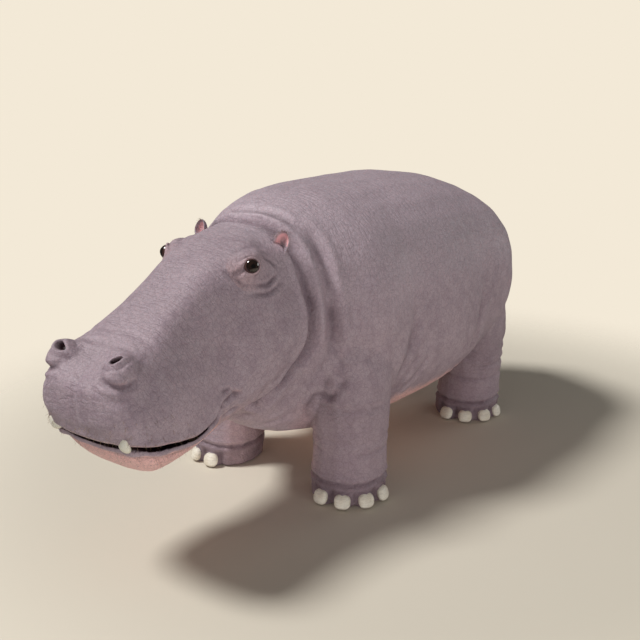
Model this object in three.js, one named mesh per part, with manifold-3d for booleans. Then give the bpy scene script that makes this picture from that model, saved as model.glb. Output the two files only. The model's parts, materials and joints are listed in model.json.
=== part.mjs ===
// A life-size standing hippopotamus (Hippopotamus amphibius), as a still museum model.
// Millimetres, +Z up. The animal faces -Y and its left side is +X. The origin is on the floor,
// midway between the lowest and highest X and Y of the model.
//
// The flesh is a few swept forms, each with smooth profiles for its back, belly and width. They are
// joined into one body and parted again with thin cuts where a person would name the parts.

import * as THREE from "three";
import { mergeVertices } from "three/addons/utils/BufferGeometryUtils.js";
import Module from "manifold-3d";

const wasm = await Module();
wasm.setup();

// ---------------------------------------------------------------- driving sizes

const GAP = 0.6; // between two neighbouring solids
const FINEST = 0.25; // facets that rise less than this from their neighbours are merged
const HALF_STANCE_FORE = 398; // centre line to the middle of a fore foot
const HALF_STANCE_HIND = 404;
const WHEELBASE = 1320; // fore foot to hind foot, along Y
const WRIST = 138; // height of the crease between a foot and its leg
const HEAD_PITCH = 25; // degrees that the forehead slopes down towards the nose
const HEAD_JOINT = [0, -395, 1222]; // where the skull meets the neck
const EYE_RADIUS = 35;
const MOUTH_GAPE = 18; // opening between the lips
const LIP_TUCK = 0.045; // share by which the lower jaw is narrower than the muzzle
const TOES = 4;
const TOE_FAN = THREE.MathUtils.degToRad(36); // between two neighbouring toes
const TOE_TURN = THREE.MathUtils.degToRad(43); // the feet point outwards

const SIDES = { left: 1, right: -1 };

// Places on the head: across from its middle, along it from the neck joint, and up.
const EYE = [248, 122, 93];
const NOSTRIL = [162, 880, 192];
const EAR_ROOT = [232, -86, 18];
const TUSK = [204, 1029, -122];

// Colours
const HIDE = 0x7d6c74;
const PALE_HIDE = 0xb98a86;
const HORN = 0xcfc9ba;
const IVORY = 0xe9e2cc;
const EYE_BLACK = 0x14100f;

const UP = new THREE.Vector3(0, 0, 1);

// ---------------------------------------------------------------- curves and forms

/** Smooth curve through a few [station, value] pairs, level beyond both ends. */
function profile(...pairs) {
  const slopes = pairs.map((_, i) => {
    const before = pairs[Math.max(i - 1, 0)];
    const after = pairs[Math.min(i + 1, pairs.length - 1)];
    return (after[1] - before[1]) / (after[0] - before[0]);
  });
  return (station) => {
    const at = THREE.MathUtils.clamp(station, pairs[0][0], pairs.at(-1)[0]);
    const i = Math.max(1, pairs.findIndex(([end]) => end >= at));
    const [x0, y0] = pairs[i - 1];
    const [x1, y1] = pairs[i];
    const span = x1 - x0;
    const t = (at - x0) / span;
    const rise = (3 - 2 * t) * t * t;
    const bend0 = t * (1 - t) ** 2 * span * slopes[i - 1];
    const bend1 = t * t * (t - 1) * span * slopes[i];
    return y0 + (y1 - y0) * rise + bend0 + bend1;
  };
}

/** A power of a sine or cosine that keeps its sign: 1 gives an ellipse, less a boxier section. */
const signedPower = (value, power) => Math.sign(value) * Math.abs(value) ** power;

/**
 * How far the surface swells at a point: each muscle or fold pushes it out by its rise at its own
 * middle, and fades away over its reach. Muscles come in pairs, one on each side.
 */
function swelling(muscles, point) {
  return muscles.reduce((sum, { at, reach, rise }) => {
    const across = (Math.abs(point[0]) - at[0]) / reach[0];
    const along = (point[1] - at[1]) / reach[1];
    const up = (point[2] - at[2]) / reach[2];
    return sum + rise * Math.exp(-(across ** 2 + along ** 2 + up ** 2));
  }, 0);
}

/** Turns a closed geometry into a solid that can be cut and joined. */
function solid(geometry) {
  const bare = new THREE.BufferGeometry();
  bare.setAttribute("position", geometry.getAttribute("position"));
  bare.setIndex(geometry.index);
  const merged = mergeVertices(bare, 1e-3);
  return new wasm.Manifold(
    new wasm.Mesh({
      numProp: 3,
      vertProperties: merged.attributes.position.array,
      triVerts: new Uint32Array(merged.index.array),
    }),
  );
}

/** Carries every vertex of a unit sphere to place(along 0..1, around 0..2 pi), as one closed form. */
function carriedSphere(around, along, place) {
  const geometry = new THREE.SphereGeometry(1, around, along);
  const { position, uv } = geometry.attributes;
  const last = 1 - 1e-9;
  for (let i = 0; i < position.count; i++) {
    const pole = uv.getY(i) <= 0 || uv.getY(i) >= last;
    const turn = pole ? 0 : (uv.getX(i) % 1) * 2 * Math.PI;
    position.setXYZ(i, ...place(1 - uv.getY(i), turn));
  }
  const form = solid(geometry);
  if (form.volume() > 0) return form;
  geometry.index.array.reverse();
  return solid(geometry);
}

/**
 * A form swept through stations. section(station, turn) gives a point of the outline and
 * centre(station) its middle. Each end closes over the length of its cap, round like an ellipsoid.
 */
function sweep({ from, to, caps, around, along, section, centre }) {
  const [capFrom, capTo] = caps;
  const capRings = 4;
  const quarter = Math.PI / 2;
  return carriedSphere(around, along, (t, turn) => {
    const ring = t * along;
    let station = 0;
    let scale = 1;
    if (ring <= capRings) {
      const angle = (ring / capRings) * quarter;
      station = from + capFrom * (1 - Math.cos(angle));
      scale = Math.sin(angle);
    } else if (ring >= along - capRings) {
      const angle = ((along - ring) / capRings) * quarter;
      station = to - capTo * (1 - Math.cos(angle));
      scale = Math.sin(angle);
    } else {
      const share = (ring - capRings) / (along - 2 * capRings);
      station = THREE.MathUtils.lerp(from + capFrom, to - capTo, share);
    }
    const middle = centre(station);
    return section(station, turn).map((value, i) => middle[i] + scale * (value - middle[i]));
  });
}

/** An ellipsoid of the given radii, turned by Euler angles and set at a point. */
function ellipsoid(radii, at, turned = new THREE.Euler(), around = 14, along = 8) {
  const geometry = new THREE.SphereGeometry(1, around, along);
  const turn = new THREE.Quaternion().setFromEuler(turned);
  const place = new THREE.Matrix4().compose(
    new THREE.Vector3(...at), turn, new THREE.Vector3(...radii),
  );
  return solid(geometry.applyMatrix4(place));
}

/** Everything on the side of a plane that its normal points to, as far as a large block reaches. */
function beyond(point, normal) {
  const reach = 6000;
  const block = new THREE.BoxGeometry(reach, reach, reach).translate(0, 0, reach / 2);
  const turn = new THREE.Quaternion().setFromUnitVectors(UP, normal);
  block.applyQuaternion(turn).translate(point.x, point.y, point.z);
  return solid(block);
}

/** Parts a solid at a plane with a thin gap, and returns the piece behind it and the piece ahead. */
function part(whole, point, normal) {
  const half = normal.clone().multiplyScalar(GAP / 2);
  const ahead = whole.intersect(beyond(point.clone().add(half), normal));
  const behind = whole.intersect(beyond(point.clone().sub(half), normal.clone().negate()));
  return [behind, ahead];
}

/** The plane across the body through two points of its middle line, [along, up] each. */
function crossCut(whole, [alongTop, upTop], [alongFoot, upFoot]) {
  const normal = new THREE.Vector3(0, upFoot - upTop, alongTop - alongFoot).normalize();
  return part(whole, new THREE.Vector3(0, alongTop, upTop), normal);
}

/** The largest connected piece of a solid; slivers that a cut leaves behind are dropped. */
function largest(shape) {
  return shape.decompose().reduce((a, b) => (a.volume() > b.volume() ? a : b));
}

// ---------------------------------------------------------------- trunk and neck

const torso = {
  from: -620,
  to: 1840,
  back: profile([-620, 1180], [-450, 1290], [-300, 1376], [-150, 1462], [0, 1498], [250, 1512],
    [500, 1514], [850, 1506], [1150, 1468], [1450, 1378], [1840, 1215]),
  belly: profile([-620, 600], [-450, 455], [-300, 360], [-150, 300], [150, 264], [600, 240],
    [950, 262], [1250, 350], [1500, 490], [1840, 680]),
  width: profile([-620, 200], [-450, 264], [-300, 326], [-150, 415], [0, 505], [200, 578],
    [500, 630], [850, 656], [1150, 636], [1450, 580], [1840, 468]),
  waist: profile([-620, 940], [-150, 930], [500, 850], [1000, 840], [1840, 920]),
  muscles: [
    { at: [470, 40, 980], reach: [220, 210, 300], rise: 42 }, // shoulder
    { at: [520, 1340, 980], reach: [240, 250, 330], rise: 40 }, // haunch
    { at: [600, 1010, 950], reach: [260, 130, 320], rise: -26 }, // hollow of the flank
    { at: [560, 330, 1000], reach: [260, 110, 340], rise: -22 }, // behind the shoulder blade
    { at: [0, 1480, 1420], reach: [150, 160, 160], rise: 18 }, // root of the tail
  ],
};

/** The barrel and the neck as one form, grown outwards by a margin. */
function torsoForm(margin = 0) {
  const section = (y, turn) => {
    const rise = Math.sin(turn);
    const waist = torso.waist(y);
    const reach = rise > 0 ? torso.back(y) - waist : waist - torso.belly(y);
    const boxiness = rise > 0 ? 0.86 : 0.82;
    const x = torso.width(y) * signedPower(Math.cos(turn), boxiness);
    const z = waist + reach * signedPower(rise, boxiness);
    const out = margin + swelling(torso.muscles, [x, y, z]);
    return [x + out * Math.cos(turn), y, z + out * rise];
  };
  return sweep({
    from: torso.from - margin,
    to: torso.to + margin,
    caps: [180, 430],
    around: 26,
    along: 28,
    section,
    centre: (y) => [0, y, torso.waist(y)],
  });
}

// ---------------------------------------------------------------- head

/** Seats a form that was made level, facing -Y from the neck joint, on the neck. */
const seatOnHead = (level) => level.rotate([HEAD_PITCH, 0, 0]).translate(HEAD_JOINT);

/** A place across, along and up the head, in the level frame that the head is made in. */
const onHead = (side, [across, along, up]) => [side * across, -along, up];

/**
 * Sections across the head: its middle line on top, then [out, up] at the brow, the cheek and the
 * jaw, and its middle line below, from the nape to the front of the muzzle.
 */
const headSections = [
  { along: -190, top: 60, brow: [126, 40], cheek: [250, -90], jaw: [256, -250], chin: -340 },
  { along: -110, top: 118, brow: [146, 90], cheek: [288, -70], jaw: [312, -270], chin: -420 },
  { along: 20, top: 152, brow: [164, 126], cheek: [296, -50], jaw: [350, -290], chin: -500 },
  { along: 130, top: 160, brow: [168, 136], cheek: [288, -30], jaw: [356, -305], chin: -540 },
  { along: 260, top: 166, brow: [160, 140], cheek: [268, -30], jaw: [340, -325], chin: -548 },
  { along: 400, top: 160, brow: [156, 132], cheek: [248, -60], jaw: [304, -340], chin: -522 },
  { along: 540, top: 150, brow: [162, 122], cheek: [246, -80], jaw: [280, -340], chin: -490 },
  { along: 680, top: 142, brow: [186, 112], cheek: [274, -95], jaw: [286, -325], chin: -462 },
  { along: 800, top: 138, brow: [206, 104], cheek: [294, -100], jaw: [290, -298], chin: -430 },
  { along: 910, top: 130, brow: [212, 94], cheek: [297, -100], jaw: [286, -270], chin: -394 },
  { along: 1060, top: 100, brow: [192, 66], cheek: [274, -100], jaw: [258, -234], chin: -326 },
];

const headMuscles = [
  { at: [216, 96, 80], reach: [58, 80, 62], rise: 48 }, // eye socket
  { at: [168, 884, 124], reach: [56, 72, 58], rise: 60 }, // nostril pad
  { at: [224, -90, 42], reach: [50, 60, 60], rise: 16 }, // root of the ear
  { at: [265, 800, -120], reach: [90, 120, 110], rise: 12 }, // over the root of the tusk
  { at: [0, 900, 60], reach: [60, 160, 240], rise: -14 }, // furrow between the nostrils
  { at: [270, 330, 0], reach: [90, 90, 70], rise: -14 }, // hollow under the eye
];

/** One measure of the head sections as a smooth profile along the head. */
const headProfile = (measure) =>
  profile(...headSections.map((each) => [each.along, measure(each)]));

const headLine = {
  top: headProfile(({ top }) => top),
  chin: headProfile(({ chin }) => chin),
  ...Object.fromEntries(
    ["brow", "cheek", "jaw"].map((key) => [
      key,
      { out: headProfile((each) => each[key][0]), up: headProfile((each) => each[key][1]) },
    ]),
  ),
};

/** The closed outline of the head at one station, through its top, brow, cheek, jaw and chin. */
function headOutline(s) {
  const { top, brow, cheek, jaw, chin } = headLine;
  const half = [
    [brow.out(s) * 0.6, top(s) - 0.1 * (top(s) - brow.up(s))],
    [brow.out(s), brow.up(s)],
    [(brow.out(s) + cheek.out(s)) / 2 + 12, (brow.up(s) + cheek.up(s)) / 2 + 8],
    [cheek.out(s), cheek.up(s)],
    [jaw.out(s), jaw.up(s)],
    [jaw.out(s) * 0.72, chin(s) + 0.22 * (jaw.up(s) - chin(s))],
  ];
  const mirrored = half.toReversed().map(([out, up]) => [-out, up]);
  const outline = [[0, top(s)], ...half, [0, chin(s)], ...mirrored];
  return new THREE.CatmullRomCurve3(
    outline.map(([out, up]) => new THREE.Vector3(out, -s, up)),
    true,
  );
}

/**
 * The whole head with its lower jaw, before the mouth is cut, grown outwards by a margin and
 * drawn in by a share at its sides and front.
 */
function headForm(margin = 0, tuck = 0) {
  const middle = (s) => [0, -s, (headLine.top(s) + headLine.chin(s)) / 2];
  const section = (s, turn) => {
    const { x, z } = headOutline(s).getPoint(turn / (2 * Math.PI));
    const [, , centreUp] = middle(s);
    const reach = Math.hypot(x, z - centreUp);
    const out = (margin + swelling(headMuscles, [x, s, z])) / reach;
    return [x * (1 + out) * (1 - tuck), -s, z + (z - centreUp) * out];
  };
  const front = headSections.at(-1).along + margin;
  return sweep({
    from: headSections[0].along - margin,
    to: front - tuck * 300,
    caps: [90, 86],
    around: 32,
    along: 27,
    section,
    centre: middle,
  });
}

/** The line of the lips from the front of the muzzle back to its corner, [along, up] each. */
const lipLine = [[1140, -106], [1000, -162], [900, -216], [800, -276], [710, -322], [630, -334],
  [575, -300]];

/** Everything below the line of the lips, dropped by a gape, right across the head. */
function belowLips(gape) {
  const line = new THREE.SplineCurve(lipLine.map((each) => new THREE.Vector2(...each)));
  const steps = 12;
  const gap = gape > 0 ? GAP : 0;
  const edge = line.getPoints(steps).map(({ x, y }, i) => {
    return new THREE.Vector2(x, y - gap - (gape - gap) * Math.sqrt(1 - i / steps));
  });
  const [corner] = edge.slice(-1);
  const under = -900;
  const shape = new THREE.Shape([
    ...edge.slice(0, -1),
    new THREE.Vector2(corner.x + gap, corner.y),
    new THREE.Vector2(corner.x + gap - 60, under),
    new THREE.Vector2(edge[0].x, under),
  ]);
  const span = 900;
  const wall = new THREE.ExtrudeGeometry(shape, { depth: span, bevelEnabled: false });
  wall.translate(0, 0, -span / 2);
  wall.applyMatrix4(new THREE.Matrix4().makeBasis(
    new THREE.Vector3(0, -1, 0), UP, new THREE.Vector3(-1, 0, 0),
  ));
  return solid(wall);
}

const sphere = (radius) => [radius, radius, radius];

const eyeball = (side, margin = 0) =>
  ellipsoid(sphere(EYE_RADIUS + margin), onHead(side, EYE), undefined, 10, 7);

/** The opening of one nostril, a slanted slit that faces forwards and up. */
const nostrilSlit = (side) =>
  ellipsoid([15, 30, 30], onHead(side, NOSTRIL), new THREE.Euler(0, side * 0.3, side * 0.5), 8, 5);

/** The tip of a lower canine, which rises outside the upper lip. */
const tusk = (side, margin = 0) =>
  ellipsoid(
    [21 + margin, 19 + margin, 45 + margin],
    onHead(side, TUSK),
    new THREE.Euler(-0.35, side * 0.14, 0),
    8,
    6,
  );

/** A short round ear, cupped forwards and outwards. */
function earForm(side) {
  const turned = new THREE.Euler(-0.35, side * 0.3, side * 0.5, "ZYX");
  const place = (x, y, z) =>
    new THREE.Vector3(x, y, z).applyEuler(turned).add(new THREE.Vector3(...onHead(side, EAR_ROOT)));
  const shell = ellipsoid([35, 25, 50], place(0, 0, 38), turned, 9, 6);
  const cup = ellipsoid([23, 22, 37], place(0, -18, 46), turned, 8, 5);
  const stem = ellipsoid([31, 26, 48], place(0, 3, -4), turned, 7, 4);
  return shell.add(stem).subtract(cup);
}

// ---------------------------------------------------------------- legs

const legs = {
  fore: {
    stance: HALF_STANCE_FORE,
    footY: 0,
    top: 960,
    across: profile([0, 0], [250, -6], [600, -18], [800, -80], [960, -180]),
    along: profile([0, 0], [140, 14], [260, 24], [560, 34], [960, 60]),
    halfWidth: profile([0, 180], [60, 192], [WRIST, 186], [250, 182], [400, 188], [600, 196],
      [960, 192]),
    halfLength: profile([0, 180], [60, 192], [WRIST, 188], [250, 182], [400, 194], [600, 208],
      [960, 202]),
  },
  hind: {
    stance: HALF_STANCE_HIND,
    footY: WHEELBASE,
    top: 1040,
    across: profile([0, 0], [300, 0], [600, -14], [820, -60], [1040, -140]),
    along: profile([0, 0], [150, 20], [330, 46], [520, 20], [760, -24], [1040, 0]),
    halfWidth: profile([0, 180], [60, 190], [WRIST, 184], [270, 178], [420, 186], [650, 214],
      [1040, 214]),
    halfLength: profile([0, 184], [60, 196], [WRIST, 190], [270, 180], [420, 198], [650, 256],
      [1040, 290]),
  },
};

/** One leg from its flat sole up to a shoulder or hip inside the body. */
function legForm(leg, side) {
  const soleEdge = 16;
  const boxiness = 0.92;
  const rings = 12;
  const capStart = leg.top - 120;
  // Ring heights and scales: a flat sole with a rounded edge, the column, and a rounded top.
  const stations = [[0, 0], [0, 0.9], [soleEdge, 1]];
  for (let i = 1; i <= rings - 5; i++) {
    stations.push([THREE.MathUtils.lerp(soleEdge, capStart, i / (rings - 5)), 1]);
  }
  stations.push([leg.top - 30, 0.75], [leg.top, 0]);
  const last = stations.length - 1;
  return carriedSphere(14, last, (t, turn) => {
    const [z, scale] = stations[Math.round(t * last)];
    const wide = leg.halfWidth(z) * scale * signedPower(Math.cos(turn), boxiness);
    const long = leg.halfLength(z) * scale * signedPower(Math.sin(turn), boxiness);
    return [side * (leg.stance + leg.across(z)) + wide, leg.footY + leg.along(z) + long, z];
  });
}

const TOE_RADII = [60, 72, 62];
const NAIL_RADII = [41, 24, 37];
const NAIL_STAND = 7; // how far a nail stands out of its toe
const NAIL_UP = 38; // height of its middle
const NAIL_CLEARANCE = 8; // its flat lower edge above the floor

/** The middle of each toe round the front of a foot, and the way that it points. */
function toes(leg, side) {
  return Array.from({ length: TOES }, (_, i) => {
    const middle = i - (TOES - 1) / 2;
    const angle = side * (middle * TOE_FAN + TOE_TURN);
    const reach = leg.halfLength(60) * (Math.abs(middle) < 1 ? 0.7 : 0.68);
    const ahead = new THREE.Vector3(Math.sin(angle), -Math.cos(angle), 0);
    const middleOfFoot = new THREE.Vector3(side * leg.stance, leg.footY, 0);
    const place = (further, z) =>
      middleOfFoot.clone().addScaledVector(ahead, reach + further).setZ(z);
    return { angle, ahead, place };
  });
}

function toeForm({ angle, place }) {
  const toe = ellipsoid(TOE_RADII, place(0, 36), new THREE.Euler(0, 0, angle), 8, 5);
  return toe.intersect(beyond(new THREE.Vector3(), UP));
}

/** The hoof-like nail that caps the front of one toe, arched above and flat below. */
function nailForm({ angle, ahead, place }, flesh) {
  const further = TOE_RADII[1] + NAIL_STAND - NAIL_RADII[1];
  const lean = new THREE.Euler(-0.12, 0, angle, "ZYX");
  const nail = ellipsoid(NAIL_RADII, place(further, NAIL_UP), lean, 7, 4)
    .intersect(beyond(new THREE.Vector3(0, 0, NAIL_CLEARANCE), UP))
    .intersect(beyond(place(further + 2, 0), ahead));
  return largest(nail.subtract(flesh)).translate(ahead.clone().multiplyScalar(GAP).toArray());
}

// ---------------------------------------------------------------- tail

/** The tail hangs close over the rump and ends in a flat blade. */
function tailForm() {
  const path = new THREE.CatmullRomCurve3([
    new THREE.Vector3(0, 1640, 1190),
    new THREE.Vector3(0, 1765, 1130),
    new THREE.Vector3(0, 1812, 1000),
    new THREE.Vector3(0, 1815, 860),
    new THREE.Vector3(0, 1800, 740),
  ]);
  const thick = profile([0, 52], [0.35, 36], [0.75, 20], [1, 11]);
  const deep = profile([0, 58], [0.35, 38], [0.75, 32], [1, 22]);
  const across = new THREE.Vector3(1, 0, 0);
  return sweep({
    from: 0,
    to: 1,
    caps: [0.02, 0.04],
    around: 8,
    along: 13,
    centre: (s) => path.getPoint(s).toArray(),
    section: (s, turn) => {
      const inward = path.getTangent(s).cross(across).normalize();
      return path
        .getPoint(s)
        .addScaledVector(across, thick(s) * Math.cos(turn))
        .addScaledVector(inward, deep(s) * Math.sin(turn))
        .toArray();
    },
  });
}

// ---------------------------------------------------------------- assembly

const model = new THREE.Group();

/** Adds a solid to the model as a named mesh. */
function add(name, shape, color, roughness) {
  const { vertProperties, triVerts, numProp } = shape.simplify(FINEST).getMesh();
  const count = vertProperties.length / numProp;
  const positions = new Float32Array(count * 3);
  for (let i = 0; i < count; i++) {
    positions.set(vertProperties.subarray(i * numProp, i * numProp + 3), i * 3);
  }
  const geometry = new THREE.BufferGeometry();
  geometry.setAttribute("position", new THREE.BufferAttribute(positions, 3));
  geometry.setIndex(new THREE.BufferAttribute(new Uint32Array(triVerts), 1));
  geometry.computeVertexNormals();
  const material = new THREE.MeshStandardMaterial({ color, roughness, metalness: 0 });
  const mesh = new THREE.Mesh(geometry, material);
  mesh.name = name;
  model.add(mesh);
}

/** The head without its lower jaw, with its sockets, nostrils and the notches for the tusks. */
function faceForm() {
  let face = headForm().subtract(belowLips(0));
  for (const side of Object.values(SIDES)) {
    face = face
      .subtract(nostrilSlit(side))
      .subtract(eyeball(side, GAP))
      .subtract(tusk(side, GAP + 3));
  }
  return face;
}

/** The lower jaw, a little narrower than the muzzle and open by the gape. */
function jawForm() {
  let jaw = headForm(0, LIP_TUCK).intersect(belowLips(MOUTH_GAPE));
  for (const side of Object.values(SIDES)) jaw = jaw.subtract(tusk(side, GAP));
  return jaw;
}

/** The head, neck and trunk are one body, parted by two cuts across it. */
function buildBody() {
  const notJaw = seatOnHead(belowLips(0));
  const whole = torsoForm().subtract(notJaw).add(seatOnHead(faceForm()));
  const [behindHead, head] = crossCut(whole, [-215, 1380], [-415, 450]);
  const [trunk, neck] = crossCut(behindHead, [-10, 1460], [-150, 380]);
  const ears = Object.values(SIDES).map((side) => seatOnHead(earForm(side)));
  const headRoom = torsoForm(GAP).add(seatOnHead(headForm(GAP)));
  add("head", largest(head), HIDE, 0.6);
  add("lower_jaw", largest(seatOnHead(jawForm())), PALE_HIDE, 0.6);
  add("neck", largest(neck), HIDE, 0.6);
  add("trunk", largest(trunk), HIDE, 0.6);
  add("tail", largest(tailForm().subtract(torsoForm(GAP))), HIDE, 0.65);
  Object.entries(SIDES).forEach(([name, side], i) => {
    add(`ear_${name}`, largest(ears[i].subtract(headRoom)), PALE_HIDE, 0.6);
    add(`eye_${name}`, seatOnHead(eyeball(side)), EYE_BLACK, 0.1);
    add(`tusk_${name}`, seatOnHead(tusk(side)), IVORY, 0.35);
  });
}

function buildLegs() {
  const body = torsoForm(GAP);
  for (const [end, leg] of Object.entries(legs)) {
    for (const [name, side] of Object.entries(SIDES)) {
      const [stump, column] = part(legForm(leg, side), new THREE.Vector3(0, 0, WRIST), UP);
      const toesHere = toes(leg, side);
      const foot = toesHere.reduce((sum, toe) => sum.add(toeForm(toe)), stump);
      add(`${end}_leg_${name}`, largest(column.subtract(body)), HIDE, 0.65);
      add(`${end}_foot_${name}`, foot, HIDE, 0.7);
      toesHere.forEach((toe, i) => {
        add(`nail_${end}_${name}_${i + 1}`, nailForm(toe, foot), HORN, 0.5);
      });
    }
  }
}

buildBody();
buildLegs();

// The origin goes to the floor, under the middle of the model.
const box = new THREE.Box3().setFromObject(model);
const centre = box.getCenter(new THREE.Vector3());
model.position.set(-centre.x, -centre.y, -box.min.z);

export default model;
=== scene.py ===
"""A life-size standing hippopotamus, as a still museum model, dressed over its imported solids.

One hide runs from the lips to the tail and down to the soles. It starts as a copy of the solids of
flesh, joined and made smooth, and is then shaped as a sculptor would: lids, nostrils, lips, ears,
rolls and wrinkles. The eyes, tusks, nails and bristles are pieces of their own.
"""

import itertools
import json
import logging
import math
from dataclasses import dataclass
from enum import Enum

import bpy
import numpy as np
from mathutils import Euler, Matrix, Vector
from mathutils.bvhtree import BVHTree
from mathutils.kdtree import KDTree


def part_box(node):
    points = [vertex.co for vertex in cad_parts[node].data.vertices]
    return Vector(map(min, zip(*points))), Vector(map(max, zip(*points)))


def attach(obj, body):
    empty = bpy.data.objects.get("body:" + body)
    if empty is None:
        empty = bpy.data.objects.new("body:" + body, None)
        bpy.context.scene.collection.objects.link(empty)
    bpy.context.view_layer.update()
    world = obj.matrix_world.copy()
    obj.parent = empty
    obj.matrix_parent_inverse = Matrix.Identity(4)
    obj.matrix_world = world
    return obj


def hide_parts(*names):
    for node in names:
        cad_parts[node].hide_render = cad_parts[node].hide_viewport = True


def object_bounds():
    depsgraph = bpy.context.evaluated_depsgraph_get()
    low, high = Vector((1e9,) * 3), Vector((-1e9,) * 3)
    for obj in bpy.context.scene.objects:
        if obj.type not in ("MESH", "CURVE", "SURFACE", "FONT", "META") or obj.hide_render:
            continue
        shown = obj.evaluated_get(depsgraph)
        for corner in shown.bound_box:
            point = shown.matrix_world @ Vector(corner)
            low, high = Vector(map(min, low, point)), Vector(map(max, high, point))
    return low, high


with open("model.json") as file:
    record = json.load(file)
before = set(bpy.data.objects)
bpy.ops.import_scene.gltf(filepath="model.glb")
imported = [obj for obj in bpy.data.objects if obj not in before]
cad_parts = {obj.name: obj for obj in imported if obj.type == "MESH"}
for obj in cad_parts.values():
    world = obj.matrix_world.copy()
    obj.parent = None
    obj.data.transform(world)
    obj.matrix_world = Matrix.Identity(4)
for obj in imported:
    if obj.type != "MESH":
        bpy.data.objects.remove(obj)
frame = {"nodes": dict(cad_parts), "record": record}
cad_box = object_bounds()

log = logging.getLogger("hippopotamus")

SIDES = (1, -1)  # left is +X
ROUNDER = 1.05  # a round eye is this much larger than its faceted solid


class Slot(Enum):
    """The record's material slots."""

    HIDE = "hide"
    NAIL = "nail"
    TUSK = "tusk"
    EYE = "eye"


# ------------------------------------------------------------------ places on the animal


@dataclass(frozen=True)
class Stance:
    """Where the animal stands in the frame, and the axes of its head.

    Body places are measured back from the line of the fore feet. Head places are across from the
    head's middle, along it from the neck joint towards the nose, and up from the joint.
    """

    fore_line: float
    pitch: float = math.radians(25)
    joint_along: float = -0.395
    joint_up: float = 1.222

    def on_body(self, across: float, back: float, up: float) -> Vector:
        """The point of the model at a place on the body."""
        return Vector((across, self.fore_line + back, up))

    def on_head(self, across: float, along: float, up: float) -> Vector:
        """The point of the model at a place on the head.

        Args:
            across: how far to the left of the middle.
            along: how far towards the nose.
            up: how far above the joint.

        Returns:
            The point in the model.
        """
        cos, sin = math.cos(self.pitch), math.sin(self.pitch)
        back = self.joint_along - cos * along - sin * up
        return self.on_body(across, back, self.joint_up - sin * along + cos * up)

    def head_axes(self) -> Matrix:
        """Turns a direction given across, back and up the head into the model's axes."""
        return Matrix.Rotation(self.pitch, 3, "X")

    def measure_head(self, points: np.ndarray) -> np.ndarray:
        """Across, along and up the head of each point of the model.

        Args:
            points: the points, one in each row.

        Returns:
            The head places, one in each row.
        """
        cos, sin = math.cos(self.pitch), math.sin(self.pitch)
        back = points[:, 1] - self.fore_line - self.joint_along
        up = points[:, 2] - self.joint_up
        return np.stack([points[:, 0], -cos * back - sin * up, cos * up - sin * back], 1)

    def measure_body(self, points: np.ndarray) -> np.ndarray:
        """Across, back and up the body of each point of the model."""
        return points - np.array([0.0, self.fore_line, 0.0])


@dataclass(frozen=True)
class Foot:
    """One foot: where it stands, and how its four toes fan out and turn outwards."""

    name: str
    middle: Vector
    toes: int = 4
    fan: float = math.radians(36)
    turn: float = math.radians(43)
    to_nail: float = 0.190  # from the middle of the foot to the middle of a nail
    nail_up: float = 0.038

    @property
    def side(self) -> int:
        """1 for a left foot and -1 for a right one."""
        return 1 if self.middle.x > 0 else -1

    def ahead(self, toe: int) -> Vector:
        """The way that a toe points, counted from 0."""
        angle = self.side * ((toe - (self.toes - 1) / 2) * self.fan + self.turn)
        return Vector((math.sin(angle), -math.cos(angle), 0))

    def nail_place(self, toe: int) -> Vector:
        """The middle of a toe's nail."""
        return self.middle + self.ahead(toe) * self.to_nail + Vector((0, 0, self.nail_up))

    def off_middle(self, points: np.ndarray) -> tuple[np.ndarray, np.ndarray]:
        """How far each point is from the middle of the foot, and at which angle off its toes.

        Args:
            points: the points, one in each row.

        Returns:
            The distances, and the angles between -pi and pi.
        """
        x = self.side * (points[:, 0] - self.middle.x)
        y = points[:, 1] - self.middle.y
        angle = np.arctan2(x, -y) - self.turn
        return np.hypot(x, y), (angle + np.pi) % (2 * np.pi) - np.pi


def find_feet() -> list[Foot]:
    """The feet, from the soles in the record."""
    soles = {mount["name"]: mount["pos_m"] for mount in frame["record"]["mounts"]}
    return [Foot(name.removeprefix("sole_"), Vector(place)) for name, place in soles.items()]


# ------------------------------------------------------------------ shaping


def eased(value: np.ndarray, low: float, high: float) -> np.ndarray:
    """0 at low and 1 at high, with a soft start and end."""
    share = np.clip((value - low) / (high - low), 0, 1)
    return share * share * (3 - 2 * share)


def bump_at(distance: np.ndarray, reach: float) -> np.ndarray:
    """1 at no distance, and fading away over a reach."""
    return np.exp(-((distance / reach) ** 2))


def soft_noise(points: np.ndarray, size: float, seed: int) -> np.ndarray:
    """Smooth lumps between -1 and 1.

    Args:
        points: where to read the lumps.
        size: how far apart they are.
        seed: which set of lumps.

    Returns:
        The height of the lumps at each point.
    """
    cells = 32
    table = np.random.default_rng(seed).uniform(-1, 1, (cells, cells, cells))
    grid = points / size
    cell = np.floor(grid).astype(int)
    part = grid - cell
    part = part * part * (3 - 2 * part)
    total = np.zeros(len(points))
    for corner in itertools.product((0, 1), repeat=3):
        share = np.prod(np.where(corner, part, 1 - part), axis=1)
        x, y, z = ((cell + corner) % cells).T
        total += share * table[x, y, z]
    return total


@dataclass(frozen=True)
class Lumps:
    """Soft random lumps of one height and size."""

    height: float
    size: float
    seed: int

    def at(self, points: np.ndarray) -> np.ndarray:
        """The rise at each point."""
        return self.height * soft_noise(points, self.size, self.seed)


def curve_through(points: list[Vector], steps: int = 6) -> list[Vector]:
    """A smooth chain of points through a few given ones.

    Args:
        points: the points to pass, in order.
        steps: how many parts each span is cut into.

    Returns:
        The corners of the chain, in order.
    """
    ends = [points[0] * 2 - points[1], *points, points[-1] * 2 - points[-2]]
    chain = []
    for a, b, c, d in zip(ends, ends[1:], ends[2:], ends[3:]):
        for i in range(steps):
            t = i / steps
            bend = (2 * a - 5 * b + 4 * c - d) * t * t + (3 * b - a - 3 * c + d) * t**3
            chain.append(0.5 * (2 * b + (c - a) * t + bend))
    return [*chain, points[-1]]


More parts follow.
